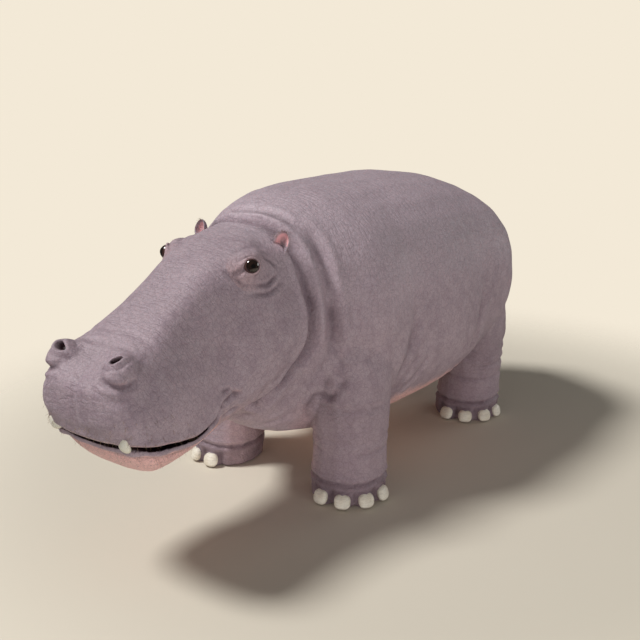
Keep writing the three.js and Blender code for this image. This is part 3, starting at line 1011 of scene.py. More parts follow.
@dataclass
class Hide:
    """The hide in one piece, with its folds and the marks that its finish reads."""

    stance: Stance
    feet: list[Foot]
    grain: float = 0.007
    quick_grain: float = 0.011
    most_triangles: int = 190000
    tight: float = 0.012  # how close to the solids' box the surface bends inwards
    puff: float = 0.0006  # makes solids that touch overlap
    tusk_inset: tuple[float, float] = (0.0055, 0.015)  # inwards and back, so that no copy shows
    lips_apart: float = 0.0065
    rounds: int = 260
    quick_rounds: int = 110
    spare_legs: float = 0.72  # how much less each form is evened out than the barrel
    spare_face: float = 0.86
    spare_tail: float = 0.97
    spare_feet: float = 0.9
    spare_lips: float = 0.8
    spare_eyes: float = 0.55  # and the nostrils

    @staticmethod
    def flesh() -> list[str]:
        """The names of the nodes that the hide stands for.

        Returns:
            The names in order.
        """
        plain = ("head", "lower_jaw", "neck", "trunk", "tail")
        limbs = ("ear_", "fore_", "hind_")
        return sorted(n for n in frame["nodes"] if n in plain or n.startswith(limbs))

    def join_solids(self) -> bpy.types.Object:
        """Copies the solids of flesh, with the eyes and tusks to fill their sockets, and joins them.

        Returns:
            The joined mesh, with even facets.
        """
        copies = []
        names = [n for n in self.flesh() if not n.startswith("ear_")]
        for name in [*names, "eye_left", "eye_right", "tusk_left", "tusk_right"]:
            copy = bpy.data.objects.new("hide", frame["nodes"][name].data.copy())
            if name.startswith("tusk_"):
                side = 1 if name.endswith("left") else -1
                inwards, back = self.tusk_inset
                shift = self.stance.head_axes() @ Vector((-inwards * side, back, 0))
                copy.data.transform(Matrix.Translation(shift))
            bpy.context.scene.collection.objects.link(copy)
            copies.append(copy)
        only(copies[0])
        for copy in copies:
            copy.select_set(True)
        bpy.ops.object.join()
        hide = bpy.context.active_object
        hide.data.materials.clear()
        bpy.ops.object.mode_set(mode="EDIT")
        bpy.ops.mesh.select_all(action="SELECT")
        bpy.ops.mesh.remove_doubles(threshold=1e-5)
        bpy.ops.transform.shrink_fatten(value=self.puff)
        bpy.ops.object.mode_set(mode="OBJECT")
        self.part_lips(hide)
        grain = self.grain
        apply_modifier(hide, "REMESH", mode="VOXEL", voxel_size=grain)
        return hide

    def part_lips(self, hide: bpy.types.Object) -> None:
        """Draws the lips apart a little, so that the mouth is open along its whole line.

        Args:
            hide: the joined solids.
        """
        clay = Clay(hide)
        head = self.stance.measure_head(clay.at)
        opening = Lips().opening(head)
        raised = Lips().raised(head)
        off = Lips().above(head) + raised + opening / 2
        apart = np.maximum(np.abs(off) - opening / 2, 0)
        ahead = eased(head[:, 1], 0.59, 0.68)
        shift = self.lips_apart * np.sign(off) * bump_at(apart, 0.03) * ahead
        shift += raised * bump_at(apart, 0.07)
        up = np.array(self.stance.head_axes() @ Vector((0, 0, 1)))
        clay.at += shift[:, None] * up
        clay.give()

    def leg_share(self, body: np.ndarray) -> np.ndarray:
        """How far each place is on one of the legs, from 0 to 1.

        Args:
            body: places on the body.

        Returns:
            The share of each place.
        """
        share = np.zeros(len(body))
        for foot in self.feet:
            back = foot.middle.y - self.stance.fore_line + 0.02
            aside = np.hypot(body[:, 0] - foot.middle.x, body[:, 1] - back)
            share = np.maximum(share, 1 - eased(aside, 0.25, 0.35))
        return share * eased(body[:, 2], 0.70, 0.45)

    def even_out(self, clay: Clay) -> None:
        """Takes the facets out of the surface, most on the barrel and least on small forms.

        Args:
            clay: the hide.
        """
        body = self.stance.measure_body(clay.at)
        head = self.stance.measure_head(clay.at)
        legs = self.leg_share(body)
        feet = legs * eased(body[:, 2], 0.17, 0.11)
        face = eased(head[:, 1], -0.22, 0.02)
        tail = eased(body[:, 1], 1.66, 1.74) * eased(np.abs(body[:, 0]), 0.10, 0.06)
        spared = [legs * self.spare_legs, face * self.spare_face, tail * self.spare_tail]
        broad = 1 - np.maximum.reduce(spared)
        broad = np.where(feet > 0.01, broad * (1 - self.spare_feet * feet), broad)
        broad *= 1 - self.spare_lips * bump_at(self.lip_distance(head), 0.045)
        for place, reach in (((0.248, 0.122, 0.093), 0.07), ((0.168, 0.884, 0.150), 0.10)):
            apart = np.column_stack([np.abs(head[:, 0]), head[:, 1:]]) - place
            broad *= 1 - self.spare_eyes * bump_at(np.linalg.norm(apart, axis=1), reach)
        clay.soften(broad, self.rounds)

    def lip_distance(self, head: np.ndarray) -> np.ndarray:
        """How far each place is from the line of the mouth."""
        ahead = eased(head[:, 1], 0.5, 0.6)
        return np.abs(Lips().above(head)) + (1 - ahead)

    def add_ears(self, clay: Clay, ears: list[Ear]) -> None:
        """Joins the ears on and softens the seams.

        Args:
            clay: the hide.
            ears: the two ears.
        """
        near = sum(ear.rootward(clay.at, self.stance) for ear in ears)
        clay.refine(near > 0.05)
        for ear in ears:
            form = ear.build(self.stance)
            apply_modifier(clay.piece, "BOOLEAN", operation="UNION", solver="MANIFOLD", object=form)
            bpy.data.objects.remove(form)
        clay.take()
        seam = sum(ear.rootward(clay.at, self.stance) for ear in ears)
        clay.soften(eased(seam, 0.3, 0.8) * 0.8, 10)

    def lay_folds(self, clay: Clay) -> None:
        """Presses in the large folds, first those of the body and then those of the head.

        Args:
            clay: the hide.
        """
        body = self.stance.measure_body(clay.at)
        head = self.stance.measure_head(clay.at)
        flesh = sum(swell.lift(head) for swell in HEAD_SWELLS)
        clay.swell(flesh + sum(swell.lift(body) for swell in BODY_SWELLS))
        surface = self.surface(clay)
        rise = np.zeros(len(clay.at))
        for fold in (*BODY_FOLDS, *HEAD_FOLDS):
            rise += fold.rise(clay.at, self.stance, surface)
        rise = rise * (1 + FOLD_WANDER.at(clay.at)) + self.ring_rise(clay)
        body = self.stance.measure_body(clay.at)
        broad = (1 - self.leg_share(body)) * eased(body[:, 1], -1.2, -0.3)
        lumps = FLESH_LUMPS.at(clay.at) + HIDE_LUMPS.at(clay.at)
        clay.swell(rise + lumps * (0.3 + 0.7 * broad))
        self.part_toes(clay)

    def ring_rise(self, clay: Clay) -> np.ndarray:
        """The creases round the legs and above the feet.

        Args:
            clay: the hide.

        Returns:
            The rise of each point, below 0 in a crease.
        """
        body = self.stance.measure_body(clay.at)
        legs = self.leg_share(body)
        total = 0.002 * legs * (1 - eased(body[:, 2], 0.100, 0.122))
        wave = RING_WAVE.at(clay.at * (1, 1, 0.2))
        for foot in self.feet:
            own = np.hypot(clay.at[:, 0] - foot.middle.x, clay.at[:, 1] - foot.middle.y) < 0.4
            for ring in FORE_RINGS if foot.name.startswith("fore") else HIND_RINGS:
                total += own * legs * ring.rise(clay.at, wave)
        return total

    def part_toes(self, clay: Clay) -> None:
        """Rounds each toe and presses in the furrows between them.

        Args:
            clay: the hide.
        """
        for foot in self.feet:
            reach, angle = foot.off_middle(clay.at)
            lobes = np.abs(np.cos(np.pi * (angle / foot.fan - 0.5))) ** 0.8
            fan = 1 - eased(np.abs(angle), 1.85 * foot.fan, 2.3 * foot.fan)
            low = (1 - eased(clay.at[:, 2], 0.055, 0.112)) * eased(reach, 0.07, 0.13)
            move = 0.015 * (lobes - 1.02) * fan * low * (reach < 0.3) / np.maximum(reach, 0.01)
            clay.at[:, 0] += move * (clay.at[:, 0] - foot.middle.x)
            clay.at[:, 1] += move * (clay.at[:, 1] - foot.middle.y)
        clay.give()

    def keep_inside(self, clay: Clay) -> None:
        """Bends the surface inwards where it would leave the box of the solids, and flattens the soles.

        Args:
            clay: the hide.
        """
        low, high = (np.array(corner) for corner in cad_box)
        middle, half = (low + high) / 2, (high - low) / 2
        off = clay.at - middle
        over = np.maximum(np.abs(off) - (half - self.tight), 0)
        held = self.tight * 0.95 * (1 - np.exp(-over / self.tight))
        bent = np.sign(off) * (np.minimum(np.abs(off), half - self.tight) + held)
        at = middle + bent
        at[:, 2] = np.where(off[:, 2] < 0, np.maximum(clay.at[:, 2], 0), at[:, 2])
        clay.at = at
        clay.give()

    def surface(self, clay: Clay) -> BVHTree:
        """The hide as it is now, to lay lines on."""
        polygons = [tuple(p.vertices) for p in clay.piece.data.polygons]
        return BVHTree.FromPolygons(clay.at.tolist(), polygons)

    def refine_features(self, clay: Clay, lids: list[Lids], nostrils: list[Nostril]) -> None:
        """Makes the mesh fine where the lids, nostrils and lips are cut.

        Args:
            clay: the hide.
            lids: the lids of both eyes.
            nostrils: both nostrils.
        """
        places = [(lid.centre, 0.085) for lid in lids]
        for n in nostrils:
            places.append((self.stance.on_head(n.side * n.across, n.along, n.up), 0.075))
        for share in (1.0, 0.72):
            near = np.zeros(len(clay.at), bool)
            for place, reach in places:
                near |= np.linalg.norm(clay.at - np.array(place), axis=1) < reach * share
            clay.refine(near)
        head = self.stance.measure_head(clay.at)
        lips = (np.abs(Lips().above(head) + 0.01) < 0.045) & (head[:, 1] > 0.5)
        clay.refine(lips)

    def thin(self, clay: Clay) -> None:
        """Takes out the points that the surface can spare.

        Args:
            clay: the hide.
        """
        mesh = clay.piece.data
        mesh.calc_loop_triangles()
        ratio = min(1.0, self.most_triangles / len(mesh.loop_triangles))
        apply_modifier(clay.piece, "DECIMATE", ratio=ratio, use_collapse_triangulate=True)
        clay.take()

    def hollows(self, clay: Clay) -> np.ndarray:
        """How deep in a crease each point lies, from 0 to 1.

        Args:
            clay: the hide.

        Returns:
            The depth mark of each point.
        """
        edges = np.empty(len(clay.piece.data.edges) * 2, np.int32)
        clay.piece.data.edges.foreach_get("vertices", edges)
        a, b = edges.reshape(-1, 2).T
        count = np.bincount(a, minlength=len(clay.at)) + np.bincount(b, minlength=len(clay.at))
        length = np.linalg.norm(clay.at[a] - clay.at[b], axis=1)
        lift = np.einsum("ij,ij->i", clay.at[b] - clay.at[a], clay.out[a]) / length**2
        drop = np.einsum("ij,ij->i", clay.at[a] - clay.at[b], clay.out[b]) / length**2
        bend = np.bincount(a, lift, len(count)) + np.bincount(b, drop, len(count))
        bend /= np.maximum(count, 1)
        for _ in range(3):
            total = np.bincount(a, bend[b], len(count)) + np.bincount(b, bend[a], len(count))
            bend = 0.4 * bend + 0.6 * total / np.maximum(count, 1)
        return np.clip(bend / 14, 0, 1)

    def pink(self, clay: Clay, ears: list[Ear], lid_rims: np.ndarray) -> np.ndarray:
        """How pink each point is: the chin, the belly, the ears and the thin hide of the folds.

        Args:
            clay: the hide.
            ears: the two ears.
            lid_rims: how near each point is to the rim of a lid.

        Returns:
            The share of pink at each point, from 0 to 1.
        """
        body = self.stance.measure_body(clay.at)
        head = self.stance.measure_head(clay.at)
        ragged = PINK_EDGE.at(clay.at) + PINK_FLECKS.at(clay.at)
        below = -Lips().above(head) - Lips().opening(head)
        chin = eased(below + ragged, 0.030, 0.050) * eased(head[:, 1], 0.52, 0.62)
        chin *= eased(clay.out[:, 2], 0.75, 0.35) * eased(np.abs(head[:, 1]), 0.56, 0.66)
        under = eased(-clay.out[:, 2] + 6 * ragged, 0.35, 0.8)
        slope = eased(-clay.out[:, 2] + 4 * ragged, 0.10, 0.45)
        belly = slope * eased(body[:, 2] + ragged, 0.47, 0.40) * eased(body[:, 1], 0.0, 0.25)
        belly *= 1 - self.leg_share(body)
        throat = 0.3 * under * eased(head[:, 1], 0.3, 0.55)
        cups = sum(ear.inside(clay.at, clay.out, self.stance) for ear in ears)
        inner = eased(np.abs(body[:, 0]), 0.33, 0.25) * self.leg_share(body) * 0.2
        return np.clip(np.maximum.reduce([chin, belly, throat, cups, 0.22 * lid_rims, inner]), 0, 1)

    def mark(self, clay: Clay, ears: list[Ear], fine: dict[str, np.ndarray]) -> None:
        """Keeps the marks that the finish reads as colour attributes.

        Args:
            clay: the thinned hide.
            ears: the ears, for their bare dishes.
            fine: the fine hide's points, and marks made while it was shaped.
        """
        tree = KDTree(len(fine["at"]))
        for i, point in enumerate(fine["at"]):
            tree.insert(point, i)
        tree.balance()
        match = np.array([tree.find(point)[1] for point in clay.at])
        dark, rims = fine["dark"][match], fine["rims"][match]
        body = self.stance.measure_body(clay.at)
        head = self.stance.measure_head(clay.at)
        pink = self.pink(clay, ears, rims)
        legs = self.leg_share(body)
        face = eased(head[:, 1], -0.15, 0.1)
        inside = sum(ear.inside(clay.at, clay.out, self.stance) for ear in ears)
        solid = np.ones(len(pink))
        # The depth in the creases is kept for the painted shade in the creases.
        keep_values(clay.piece, "marks", [pink, self.hollows(clay), dark, solid])
        keep_values(clay.piece, "regions", [face, legs, np.clip(inside, 0, 1), solid])

    def build(self, lids: list[Lids], nostrils: list[Nostril], ears: list[Ear]) -> bpy.types.Object:
        """Models the hide from the solids to its marks.

        Args:
            lids: the lids of both eyes.
            nostrils: both nostrils.
            ears: the two ears.

        Returns:
            The finished hide.
        """
        clay = Clay(self.join_solids())
        self.even_out(clay)
        self.lay_folds(clay)
        self.add_ears(clay, ears)
        self.refine_features(clay, lids, nostrils)
        # The inside of the mouth and the nostril openings are marked for painted shade.
        dark = Lips().shape(clay, self.stance)
        surface = self.surface(clay)
        for nostril in nostrils:
            dark = np.maximum(dark, nostril.shape(clay, self.stance, surface))
        rims = np.zeros(len(clay.at))
        for lid in lids:
            rims = np.maximum(rims, lid.shape(clay))
        self.keep_inside(clay)
        fine = {"at": clay.at.copy(), "dark": dark, "rims": rims}
        self.thin(clay)
        self.mark(clay, ears, fine)
        clay.piece.vertex_groups.clear()
        return finish_form(clay.piece, "hide")


# ------------------------------------------------------------------ eyes, tusks and nails


@dataclass(frozen=True)
class Eyeball:
    """One eye: a dark wet ball with a low cornea."""

    lids: Lids
    around: int = 56
    rings: int = 40
    play: float = 0.0008  # between the ball and the lids
    cornea: float = 0.0018  # how far it stands out
    cornea_reach: float = 0.42  # as an angle from the pupil

    def build(self, name: str) -> bpy.types.Object:
        """Models the ball with its pole at the pupil, and notes how far each point is from it.

        Args:
            name: what the piece is called.

        Returns:
            The ball, in its place.
        """
        lids = self.lids
        ball = new_ball(self.around, self.rings, lids.radius - self.play)
        clay = Clay(ball)
        turn = np.arccos(np.clip(clay.out[:, 2], -1, 1))
        clay.swell(self.cornea * bump_at(turn, self.cornea_reach))
        around = np.arctan2(clay.at[:, 1], clay.at[:, 0])
        streaks = [np.cos(around) / 2 + 0.5, np.sin(around) / 2 + 0.5]
        keep_values(ball, "gaze", [turn / math.pi, *streaks, np.ones(len(turn))])
        along, up = lids.axes()
        axes = Matrix((along, up, lids.gaze())).transposed()
        if axes.determinant() < 0:
            axes = Matrix((-along, up, lids.gaze())).transposed()
        ball.data.transform(Matrix.Translation(lids.centre) @ axes.to_4x4())
        return finish_form(ball, name)


@dataclass(frozen=True)
class Tusk:
    """The tip of a lower canine, blunt and a little curved."""

    side: int
    place: tuple[float, float, float] = (0.205, 1.035, -0.117)
    half_length: float = 0.033
    base: float = 0.035
    flatness: float = 0.60
    taper: float = 0.50
    lean_back: float = -0.14
    lean_out: float = 0.32
    around: int = 28
    rings: int = 24

    def build(self, stance: Stance, name: str) -> bpy.types.Object:
        """Models the tusk from a sphere, tapered to its tip and leaned like its solid.

        Args:
            stance: the axes of the head.
            name: what the piece is called.

        Returns:
            The tusk, in its place.
        """
        tusk = new_ball(self.around, self.rings)
        clay = Clay(tusk)
        x, y, z = clay.at.T
        rise = (z + 1) / 2
        taper = 1.0 - self.taper * rise**1.2
        ring = np.maximum(np.sqrt(np.clip(1 - z * z, 0, 1)), 1e-6)
        fuller = ring**0.6 / ring
        curve = 0.004 * rise**2 + 0.006 * (1 - rise) ** 2
        clay.at[:, 0] = self.base * x * taper * fuller
        clay.at[:, 1] = self.flatness * self.base * y * taper * fuller + curve
        clay.at[:, 2] = self.half_length * z + 0.006 * x * self.side * rise
        clay.give()
        tip = Euler((self.lean_back, 0, 0)).to_matrix()
        turned = tip @ Euler((0, self.side * self.lean_out, 0)).to_matrix()
        across, along, up = self.place
        placing = Matrix.Translation(stance.on_head(self.side * across, along, up))
        tusk.data.transform(placing @ (stance.head_axes() @ turned).to_4x4())
        return finish_form(tusk, name)


@dataclass(frozen=True)
class Nail:
    """One hoof-like nail, arched above and worn flat below."""

    foot: Foot
    toe: int
    radii: tuple[float, float, float] = (0.041, 0.024, 0.037)
    bluntness: tuple[float, float, float] = (0.82, 0.9, 0.86)  # 1 is round, and less is squarer
    clearance: float = 0.008
    worn_edge: float = 0.003
    around: int = 36
    rings: int = 20

    def build(self) -> bpy.types.Object:
        """Models the nail: a sphere made long, cut flat below, its edge eased, and set in its toe.

        Returns:
            The nail, in its place.
        """
        ahead = self.foot.ahead(self.toe)
        place = self.foot.nail_place(self.toe)
        nail = new_ball(self.around, self.rings)
        clay = Clay(nail)
        clay.at = np.sign(clay.at) * np.abs(clay.at) ** np.array(self.bluntness)
        clay.at *= self.radii
        clay.at[:, 1] += 0.25 * (clay.at[:, 2] - 0.01)
        clay.give()
        angle = math.atan2(ahead.x, -ahead.y)
        nail.data.transform(Matrix.Translation(place) @ Matrix.Rotation(angle, 4, "Z"))
        bpy.ops.object.mode_set(mode="EDIT")
        bpy.ops.mesh.select_all(action="SELECT")
        ground = (0, 0, self.clearance)
        bpy.ops.mesh.bisect(plane_co=ground, plane_no=(0, 0, 1), use_fill=True, clear_inner=True)
        bpy.ops.mesh.bevel(offset=self.worn_edge, segments=3, affect="EDGES")
        bpy.ops.object.mode_set(mode="OBJECT")
        only(nail)
        bpy.ops.object.shade_smooth_by_angle(angle=math.radians(45))
        return nail


def build_nails(feet: list[Foot]) -> tuple[bpy.types.Object, list[str]]:
    """Models every nail and joins them as one piece.

    Args:
        feet: the feet that they grow on.

    Returns:
        The joined nails and the names of the nodes that they stand for.
    """
    names = [f"nail_{foot.name}_{toe + 1}" for foot in feet for toe in range(foot.toes)]
    made = [Nail(foot, toe).build() for foot in feet for toe in range(foot.toes)]
    only(made[0])
    for nail in made:
        nail.select_set(True)
    bpy.ops.object.join()
    nails = bpy.context.active_object
    nails.name = nails.data.name = "nails"
    return nails, names


# ------------------------------------------------------------------ bristles


@dataclass(frozen=True)
class Tuft:
    """How many bristles grow in one place, and how long and thick they are."""

    count: int
    length: float
    thickness: float


@dataclass(frozen=True)
class Bristles:
    """Sparse stiff hairs: on the muzzle, round the ears and along the tip of the tail."""

    stance: Stance
    seed: int = 7
    sides: int = 3
    patch: float = 0.003  # across one face on the flat map
    lip: Tuft = Tuft(130, 0.024, 0.0007)
    chin: Tuft = Tuft(50, 0.016, 0.0006)
    tail: Tuft = Tuft(160, 0.05, 0.0008)
    ear: Tuft = Tuft(60, 0.020, 0.0004)

    def roots(self, hide: bpy.types.Object) -> list[tuple[Vector, Vector, float, float]]:
        """Chooses the roots on the hide.

        Args:
            hide: the finished hide.

        Returns:
            For each bristle its root, its direction, its length and its thickness.
        """
        at = read_column(hide.data.vertices, "co")
        out = read_column(hide.data.vertex_normals, "vector")
        head = self.stance.measure_head(at)
        body = self.stance.measure_body(at)
        above = Lips().above(head)
        random = np.random.default_rng(self.seed)
        found = []
        skin = BVHTree.FromObject(hide, bpy.context.evaluated_depsgraph_get())
        upper = (above > 0.02) & (above < 0.17) & (head[:, 1] > 0.78) & (np.abs(out[:, 2]) < 0.8)
        chin = (above < -0.05) & (above > -0.12) & (head[:, 1] > 0.8) & (out[:, 2] < 0.3)
        tail = (body[:, 1] > 1.74) & (body[:, 2] < 0.86) & (np.abs(body[:, 0]) < 0.06)
        for mask, tuft in ((upper, self.lip), (chin, self.chin), (tail, self.tail)):
            places = np.nonzero(mask)[0]
            for i in random.choice(places, min(tuft.count, len(places)), replace=False):
                lean = Vector(out[i]) + Vector((0, 0, -0.55)) + Vector(random.normal(0, 0.18, 3))
                span = tuft.length * random.uniform(0.6, 1.15)
                found.append((Vector(at[i]), lean.normalized(), span, tuft.thickness))
        for side in SIDES:
            placing = Ear(side).placing(self.stance)
            turn = placing.to_3x3()
            for _ in range(self.ear.count):
                angle = random.uniform(-0.35, math.pi + 0.35)
                rim = Vector((0.037 * math.cos(angle), -0.006, 0.040 + 0.054 * math.sin(angle)))
                lean = Vector((math.cos(angle), random.normal(-0.5, 0.3), math.sin(angle)))
                lean = (turn @ lean + Vector((0, 0, -0.1))).normalized()
                root, _, _, far = skin.find_nearest(placing @ rim)
                if far < 0.012:
                    span = random.uniform(self.ear.length / 2, self.ear.length)
                    found.append((root, lean, span, self.ear.thickness))
        return found

    def build(self, hide: bpy.types.Object) -> bpy.types.Object:
        """Models the bristles as one mesh of thin tapered spikes, bent a little downwards.

        Args:
            hide: the hide that they grow on.

        Returns:
            The bristles as one piece.
        """
        low, high = cad_box
        points, faces, patches = [], [], []
        for root, lean, length, thick in self.roots(hide):
            tip = root + lean * length + Vector((0, 0, -0.25 * length))
            if not all(low[i] < tip[i] < high[i] for i in range(3)):
                continue
            start = root - lean * 0.004
            aside = lean.orthogonal().normalized()
            other = lean.cross(aside)
            first = len(points)
            for share, width in ((0.0, 1.0), (0.5, 0.75)):
                centre = start.lerp(tip, share) + Vector((0, 0, 0.06 * length * (share > 0)))
                for k in range(self.sides):
                    angle = 2 * math.pi * k / self.sides
                    around = aside * math.cos(angle) + other * math.sin(angle)
                    points.append(centre + around * thick * width)
            points.append(tip)
            made = [tuple(first + k for k in reversed(range(self.sides)))]
            for k in range(self.sides):
                n = (k + 1) % self.sides
                a, b = first + k, first + n
                c, d = a + self.sides, b + self.sides
                made += [(a, b, d, c), (c, d, first + 2 * self.sides)]
            faces += made
            patches += [self.unwrap(root)] * len(made)
        mesh = bpy.data.meshes.new("bristles")
        mesh.from_pydata(points, [], faces)
        piece = bpy.data.objects.new("bristles", mesh)
        bpy.context.scene.collection.objects.link(piece)
        layer = mesh.uv_layers.new(name="OFBake")
        for polygon, (u, v) in zip(mesh.polygons, patches):
            for k, loop in enumerate(polygon.loop_indices):
                angle = 2 * math.pi * k / polygon.loop_total
                across, up = math.cos(angle), math.sin(angle)
                layer.data[loop].uv = (u + self.patch / 2 * across, v + self.patch / 2 * up)
        return piece

    def unwrap(self, root: Vector) -> tuple[float, float]:
        """The root's place on the hide rolled out flat: round the body, and along it.

        Args:
            root: where a bristle grows.

        Returns:
            The two coordinates on the flat map.
        """
        low, high = cad_box
        middle_up = (low.z + high.z) / 2
        around = math.atan2(root.x, root.z - middle_up) / (2 * math.pi) + 0.5
        along = (root.y - low.y) / (high.y - low.y)
        return 0.02 + 0.96 * around, 0.02 + 0.96 * along


# ------------------------------------------------------------------ finishes


class Wiring:
    """A node tree that is being wired: each call adds a node and feeds its inputs."""

    def __init__(self, tree: bpy.types.NodeTree) -> None:
        """Starts on a tree."""
        self.tree = tree

    def add(self, kind: str, feeds: dict | None = None, **settings: object) -> bpy.types.Node:
        """Adds a node.

        Args:
            kind: the node's type.
            feeds: a socket or a constant for each input, by name or number.
            **settings: the node's own properties.

        Returns:
            The new node.
        """
        node = self.tree.nodes.new(kind)
        for name, value in settings.items():
            setattr(node, name, value)
        for name, value in (feeds or {}).items():
            self.plug(node.inputs[name], value)
        return node

    def plug(self, socket: bpy.types.NodeSocket, value: object) -> None:
        """Links another socket to an input, or sets the input to a constant.

        Args:
            socket: the input.
            value: the other socket, or the constant.
        """
        if isinstance(value, bpy.types.NodeSocket):
            self.tree.links.new(value, socket)
        else:
            socket.default_value = value

    def maths(self, operation: str, a: object, b: object = 0.0) -> bpy.types.NodeSocket:
        """The result of one step of arithmetic."""
        return self.add("ShaderNodeMath", {0: a, 1: b}, operation=operation).outputs[0]

    def times(self, a: object, b: object) -> bpy.types.NodeSocket:
        """One value times another."""
        return self.maths("MULTIPLY", a, b)

    def plus(self, a: object, b: object) -> bpy.types.NodeSocket:
        """One value and another."""
        return self.maths("ADD", a, b)

    def minus(self, a: object, b: object) -> bpy.types.NodeSocket:
        """One value less another."""
        return self.maths("SUBTRACT", a, b)

    def blend(self, share: object, a: object, b: object, way: str = "MIX") -> bpy.types.NodeSocket:
        """A blend of two colours.

        Args:
            share: how much of the second colour shows.
            a: the first colour.
            b: the second colour.
            way: how the two are mixed.

        Returns:
            The socket with the colour.
        """
        feeds = {0: share, 6: a, 7: b}
        node = self.add("ShaderNodeMix", feeds, data_type="RGBA", blend_type=way)
        return node.outputs[2]

    def span(self, value: object, low: float, high: float, to: tuple = (0.0, 1.0)) -> bpy.types.NodeSocket:
        """A value eased from one span to another.

        Args:
            value: the value to ease.
            low: where the span starts.
            high: where it ends.
            to: what the value becomes at its start and end.

        Returns:
            The socket with the eased value.
        """
        feeds = {"Value": value, "From Min": low, "From Max": high, "To Min": to[0], "To Max": to[1]}
        node = self.add("ShaderNodeMapRange", feeds, interpolation_type="SMOOTHSTEP")
        return node.outputs["Result"]

    def vector(self, operation: str, a: object, b: object, into: str | int = 1) -> bpy.types.NodeSocket:
        """A sum of two vectors, or of a vector and a number that goes into the input named."""
        return self.add("ShaderNodeVectorMath", {0: a, into: b}, operation=operation).outputs[0]

    def noise(self, where: object, scale: object, detail: float = 3.0) -> bpy.types.NodeSocket:
        """Plain noise."""
        feeds = {"Vector": where, "Scale": scale, "Detail": detail}
        return self.add("ShaderNodeTexNoise", feeds).outputs[0]


def new_group(name: str, takes: dict[str, str], puts: dict[str, str]) -> tuple[bpy.types.NodeTree, Wiring]:
    """Starts a shader node group with named inputs and outputs.

    Args:
        name: what the group makes.
        takes: each input's name and socket type.
        puts: each output's name and socket type.

    Returns:
        The group's tree and its wiring.
    """
    tree = bpy.data.node_groups.new(name, "ShaderNodeTree")
    for label, kind in takes.items():
        tree.interface.new_socket(name=label, in_out="INPUT", socket_type=kind)
    for label, kind in puts.items():
        tree.interface.new_socket(name=label, in_out="OUTPUT", socket_type=kind)
    return tree, Wiring(tree)


def make_crackle() -> bpy.types.NodeTree:
    """Fine cells parted by cracks, as in dry thick skin or old horn.

    Returns:
        The node group.
    """
    floats, vector = "NodeSocketFloat", "NodeSocketVector"
    tree, wire = new_group(
        "crackle",
        {"Where": vector, "Scale": floats, "Warp": floats},
        {"Height": floats, "Cracks": floats},
    )
    source = wire.add("NodeGroupInput").outputs
    lumps = wire.add("ShaderNodeTexNoise", {"Vector": source["Where"], "Scale": 28.0, "Detail": 2.0})
    centred = wire.vector("SUBTRACT", lumps.outputs["Color"], (0.5, 0.5, 0.5))
    pushed = wire.vector("SCALE", centred, source["Warp"], "Scale")
    cells = wire.add(
        "ShaderNodeTexVoronoi",
        {"Vector": wire.vector("ADD", source["Where"], pushed), "Scale": source["Scale"]},
        feature="DISTANCE_TO_EDGE",
    )
    cracks = wire.span(cells.outputs["Distance"], 0.0, 0.16, (1.0, 0.0))
    crown = wire.span(cells.outputs["Distance"], 0.0, 0.45)
    feeds = {"Height": crown, "Cracks": cracks}
    wire.add("NodeGroupOutput", feeds)
    return tree


def make_wrinkles() -> bpy.types.NodeTree:
    """Creases that run one way: noise stretched along it, with sharp valleys.

    Returns:
        The node group.
    """
    floats, vector = "NodeSocketFloat", "NodeSocketVector"
    tree, wire = new_group(
        "wrinkles",
        {"Where": vector, "Stretch": vector, "Tilt": floats},
        {"Height": floats},
    )
    source = wire.add("NodeGroupInput").outputs
    turned = wire.add(
        "ShaderNodeVectorRotate",
        {"Vector": source["Where"], "Angle": source["Tilt"]},
        rotation_type="X_AXIS",
    )
    ripple = wire.noise(wire.vector("MULTIPLY", turned.outputs[0], source["Stretch"]), 1.0)
    away = wire.maths("ABSOLUTE", wire.minus(ripple, 0.5))
    wire.add("NodeGroupOutput", {"Height": wire.span(away, 0.0, 0.09)})
    return tree


def make_mottle() -> bpy.types.NodeTree:
    """Patches of two sizes as a mask, for uneven colour.

    Returns:
        The node group.
    """
    floats, vector = "NodeSocketFloat", "NodeSocketVector"
    tree, wire = new_group(
        "mottle",
        {"Where": vector, "Scale": floats},
        {"Broad": floats, "Fine": floats},
    )
    source = wire.add("NodeGroupInput").outputs
    broad = wire.noise(source["Where"], source["Scale"], 4.0)
    fine = wire.noise(source["Where"], wire.times(source["Scale"], 7.0), 5.0)
    feeds = {"Broad": wire.span(broad, 0.34, 0.66), "Fine": wire.span(fine, 0.36, 0.64)}
    wire.add("NodeGroupOutput", feeds)
    return tree


Colour = tuple[float, float, float, float]


def tone(red: int, green: int, blue: int) -> Colour:
    """A colour named by its display values, in the light that the shader works with."""
    shares = [c / 255 for c in (red, green, blue)]
    return (*(((s + 0.055) / 1.055) ** 2.4 if s > 0.04 else s / 12.92 for s in shares), 1.0)


